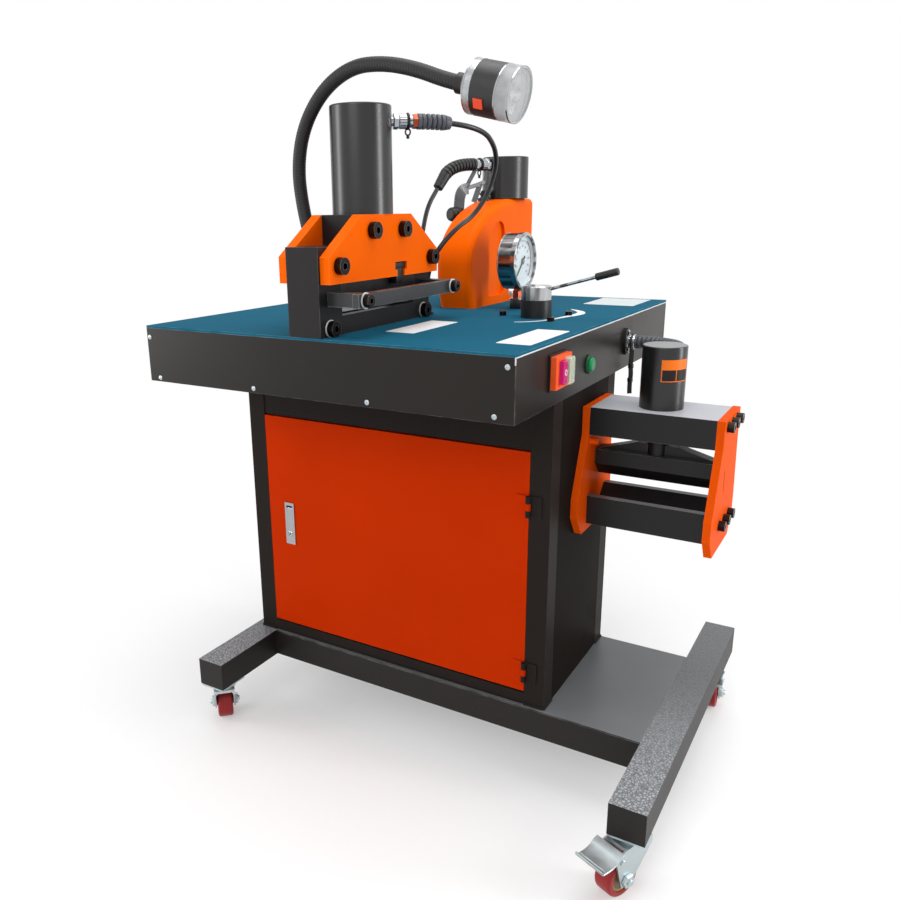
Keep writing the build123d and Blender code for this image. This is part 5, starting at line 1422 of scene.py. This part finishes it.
def make_power_pack():
    """Details of the tank and motor behind the door: breather, level glass, fins and terminal box."""
    tank_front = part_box("oil_tank")[0].y
    cap = bmesh.new()
    filler = Vector((-0.300, -0.040, 0.3405))
    add_collar(cap, filler, upward, 0.0, 0.016, 0.0245, 0.0010, 0.0020)
    add_collar(cap, filler, upward, 0.0150, 0.0200, 0.0170)
    add_block(cap, (-0.045, -0.028, 0.2945), (0.035, 0.048, 0.332), 0.003)
    add_piece("pack_mouldings", cap, "moulded_black")
    level = bmesh.new()
    sight = Vector((-0.310, tank_front, 0.235))
    add_sheet(level, rounded_outline(0.026, 0.120, 0.012), 0.006, plane(sight, to_right, upward))
    for rise in (-0.045, 0.045):
        add_nut(level, sight + Vector((0, -0.006, rise)), -to_back, -0.001, 0.006, 0.0085)
    for height in (0.1850, 0.2850):
        for across in (-0.278, -0.188):
            add_nut(level, Vector((across, tank_front, height)), -to_back, -0.0005, 0.004, 0.0060)
    add_piece("level_frame", level, "chrome")
    glass = bmesh.new()
    window = plane(sight - to_back * 0.0058, -to_right, upward)
    add_sheet(glass, rounded_outline(0.010, 0.066, 0.005), 0.0016, window)
    add_piece("level_glass", glass, "lamp_key")
    fins = bmesh.new()
    fin = rounded_outline(0.132, 0.0026, 0.0012, 2)
    fin_root = 0.0612
    fin_height = 0.0070
    for turn in range(26):
        angle = radians(-40 + 260 * turn / 25)
        out = Vector((0, cos(angle), sin(angle)))
        if sin(angle) > 0.80:
            continue
        root = plane(motor_middle + out * fin_root, to_right, out.cross(to_right))
        add_sheet(fins, fin, fin_height, root)
    shaft = Vector((0, motor_middle.y, motor_middle.z))
    for start in (-0.0695, 0.0880):
        add_ring(fins, shaft, to_right, start, start + 0.006, 0.0610, 0.0680)
    add_piece("motor_fins", fins, "motor_alloy")


def make_welds():
    """Rippled weld seams at the feet of the cabinet's posts."""
    seams = bmesh.new()
    low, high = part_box("cabinet_panels")
    post = 0.0364
    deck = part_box("base_deck")[1].z + 0.0008
    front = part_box("cabinet_frame")[0].y
    count = 44
    radii = [0.0026 + 0.0006 * abs(sin(here * pi / 4)) for here in range(count + 1)]
    for corner_x, step_x in ((low.x, post), (high.x, -post)):
        for corner_y, step_y in ((front, post), (high.y, -post)):
            corner = Vector((corner_x, corner_y, deck))
            for run in (to_right * step_x, to_back * step_y):
                points = [corner + run * here / count for here in range(count + 1)]
                add_swept(seams, points, radii, 10)
    add_piece("post_welds", seams, "post_black")


def make_floor():
    """A pale floor that fades into the white surround."""
    paper = Finish("floor_paper")
    reach = paper.vector("LENGTH", paper.place, (0, 0, 0), "Value")
    paper.set({
        "Base Color": paper.mix(paper.noise(0.02, 3.0), shade(246, 246, 246), shade(251, 251, 251)),
        "Roughness": 0.85,
    })
    glow = paper.node("ShaderNodeEmission", None, {"Color": white, "Strength": 1.0})
    fade = paper.step(reach, 0.55, 1.30)
    paper.blend(paper.light_path() * (0.35 + 0.65 * fade), glow)
    form = bmesh.new()
    bmesh.ops.create_grid(form, x_segments=1, y_segments=1, size=12.0)
    mesh = bpy.data.meshes.new("floor")
    form.to_mesh(mesh)
    form.free()
    mesh.materials.append(paper.owner)
    add_object("floor", mesh)


def make_surround():
    """A white surround where the camera sees it, and a dimmer one for the light."""
    surround = Finish("surround", bpy.data.worlds, "Background", "World Output")
    scene.world = surround.set({"Color": white, "Strength": 0.50})
    seen = surround.node("ShaderNodeBackground", None, {"Color": white, "Strength": 1.0})
    surround.blend(surround.light_path(), seen)


def make_lights():
    """Soft studio light from four area lamps."""
    # Name, place, target, width, height, power
    lamps = (
        ("overhead", (0.2, 0.1, 3.2), (0, 0, 0.6), 2.2, 2.2, 50),
        ("front_key", (0.25, -3.2, 2.4), (0, 0, 0.7), 1.8, 1.8, 32),
        ("left_strip", (-2.35, -1.50, 1.25), (-0.15, -0.13, 0.95), 0.65, 1.9, 26),
        ("right_strip", (2.35, 0.58, 1.25), (-0.15, -0.13, 0.95), 0.50, 1.9, 34),
    )
    for name, place, target, width, height, power in lamps:
        data = bpy.data.lights.new(name, "AREA")
        data.shape = "RECTANGLE"
        data.size = width
        data.size_y = height
        data.energy = power
        lamp = add_object(name, data)
        lamp.location = place
        lamp.rotation_euler = (Vector(target) - Vector(place)).to_track_quat("-Z", "Y").to_euler()


make_camera()
make_hose("cutter_line", cutter_route, "cutter_hose")
make_hose("punch_line", punch_route, "punch_hose")
make_floor()
make_surround()
make_lights()
for finish, names in node_finishes.items():
    for node in names.split():
        dress(node, finishes[finish])
for caster in casters:
    dress(f"caster_wheel_{caster}", wheel_red(caster))
    dress(f"caster_fork_{caster}", finishes["zinc"])

make_guard("cutter_guard", cutter_route, cutter_guard_length, "guard_grey", 0.010)
make_guard("punch_guard", punch_route, punch_guard_length, "guard_black", 0.034)
make_guard("bender_guard", bender_route, bender_guard_length, "guard_grey", 0.006)
for name, port, along, length, nut_finish in (
    ("cutter_coupler", cutter_port + cutter_out * cutter_radius, cutter_out, coupler_length, "copper_nut"),
    ("punch_coupler", punch_port + punch_out * punch_radius, punch_out, coupler_length, "chrome"),
    ("bender_coupler", bender_port, to_back, bender_line_end.y - bender_port.y, "copper_nut"),
):
    make_coupler(name, port, along, length, nut_finish)
make_bulkhead()
make_cap_clip()
make_casting_plug()
make_dial()
make_gauge_rings()
make_gauge_stem()
make_grommets()
make_screws()
make_labels()
make_bender_label()
make_skirt_edge_highlights()
make_neck()
make_lamp_front()
make_controls()
make_latch_lock()
make_casters()
make_power_pack()
make_welds()
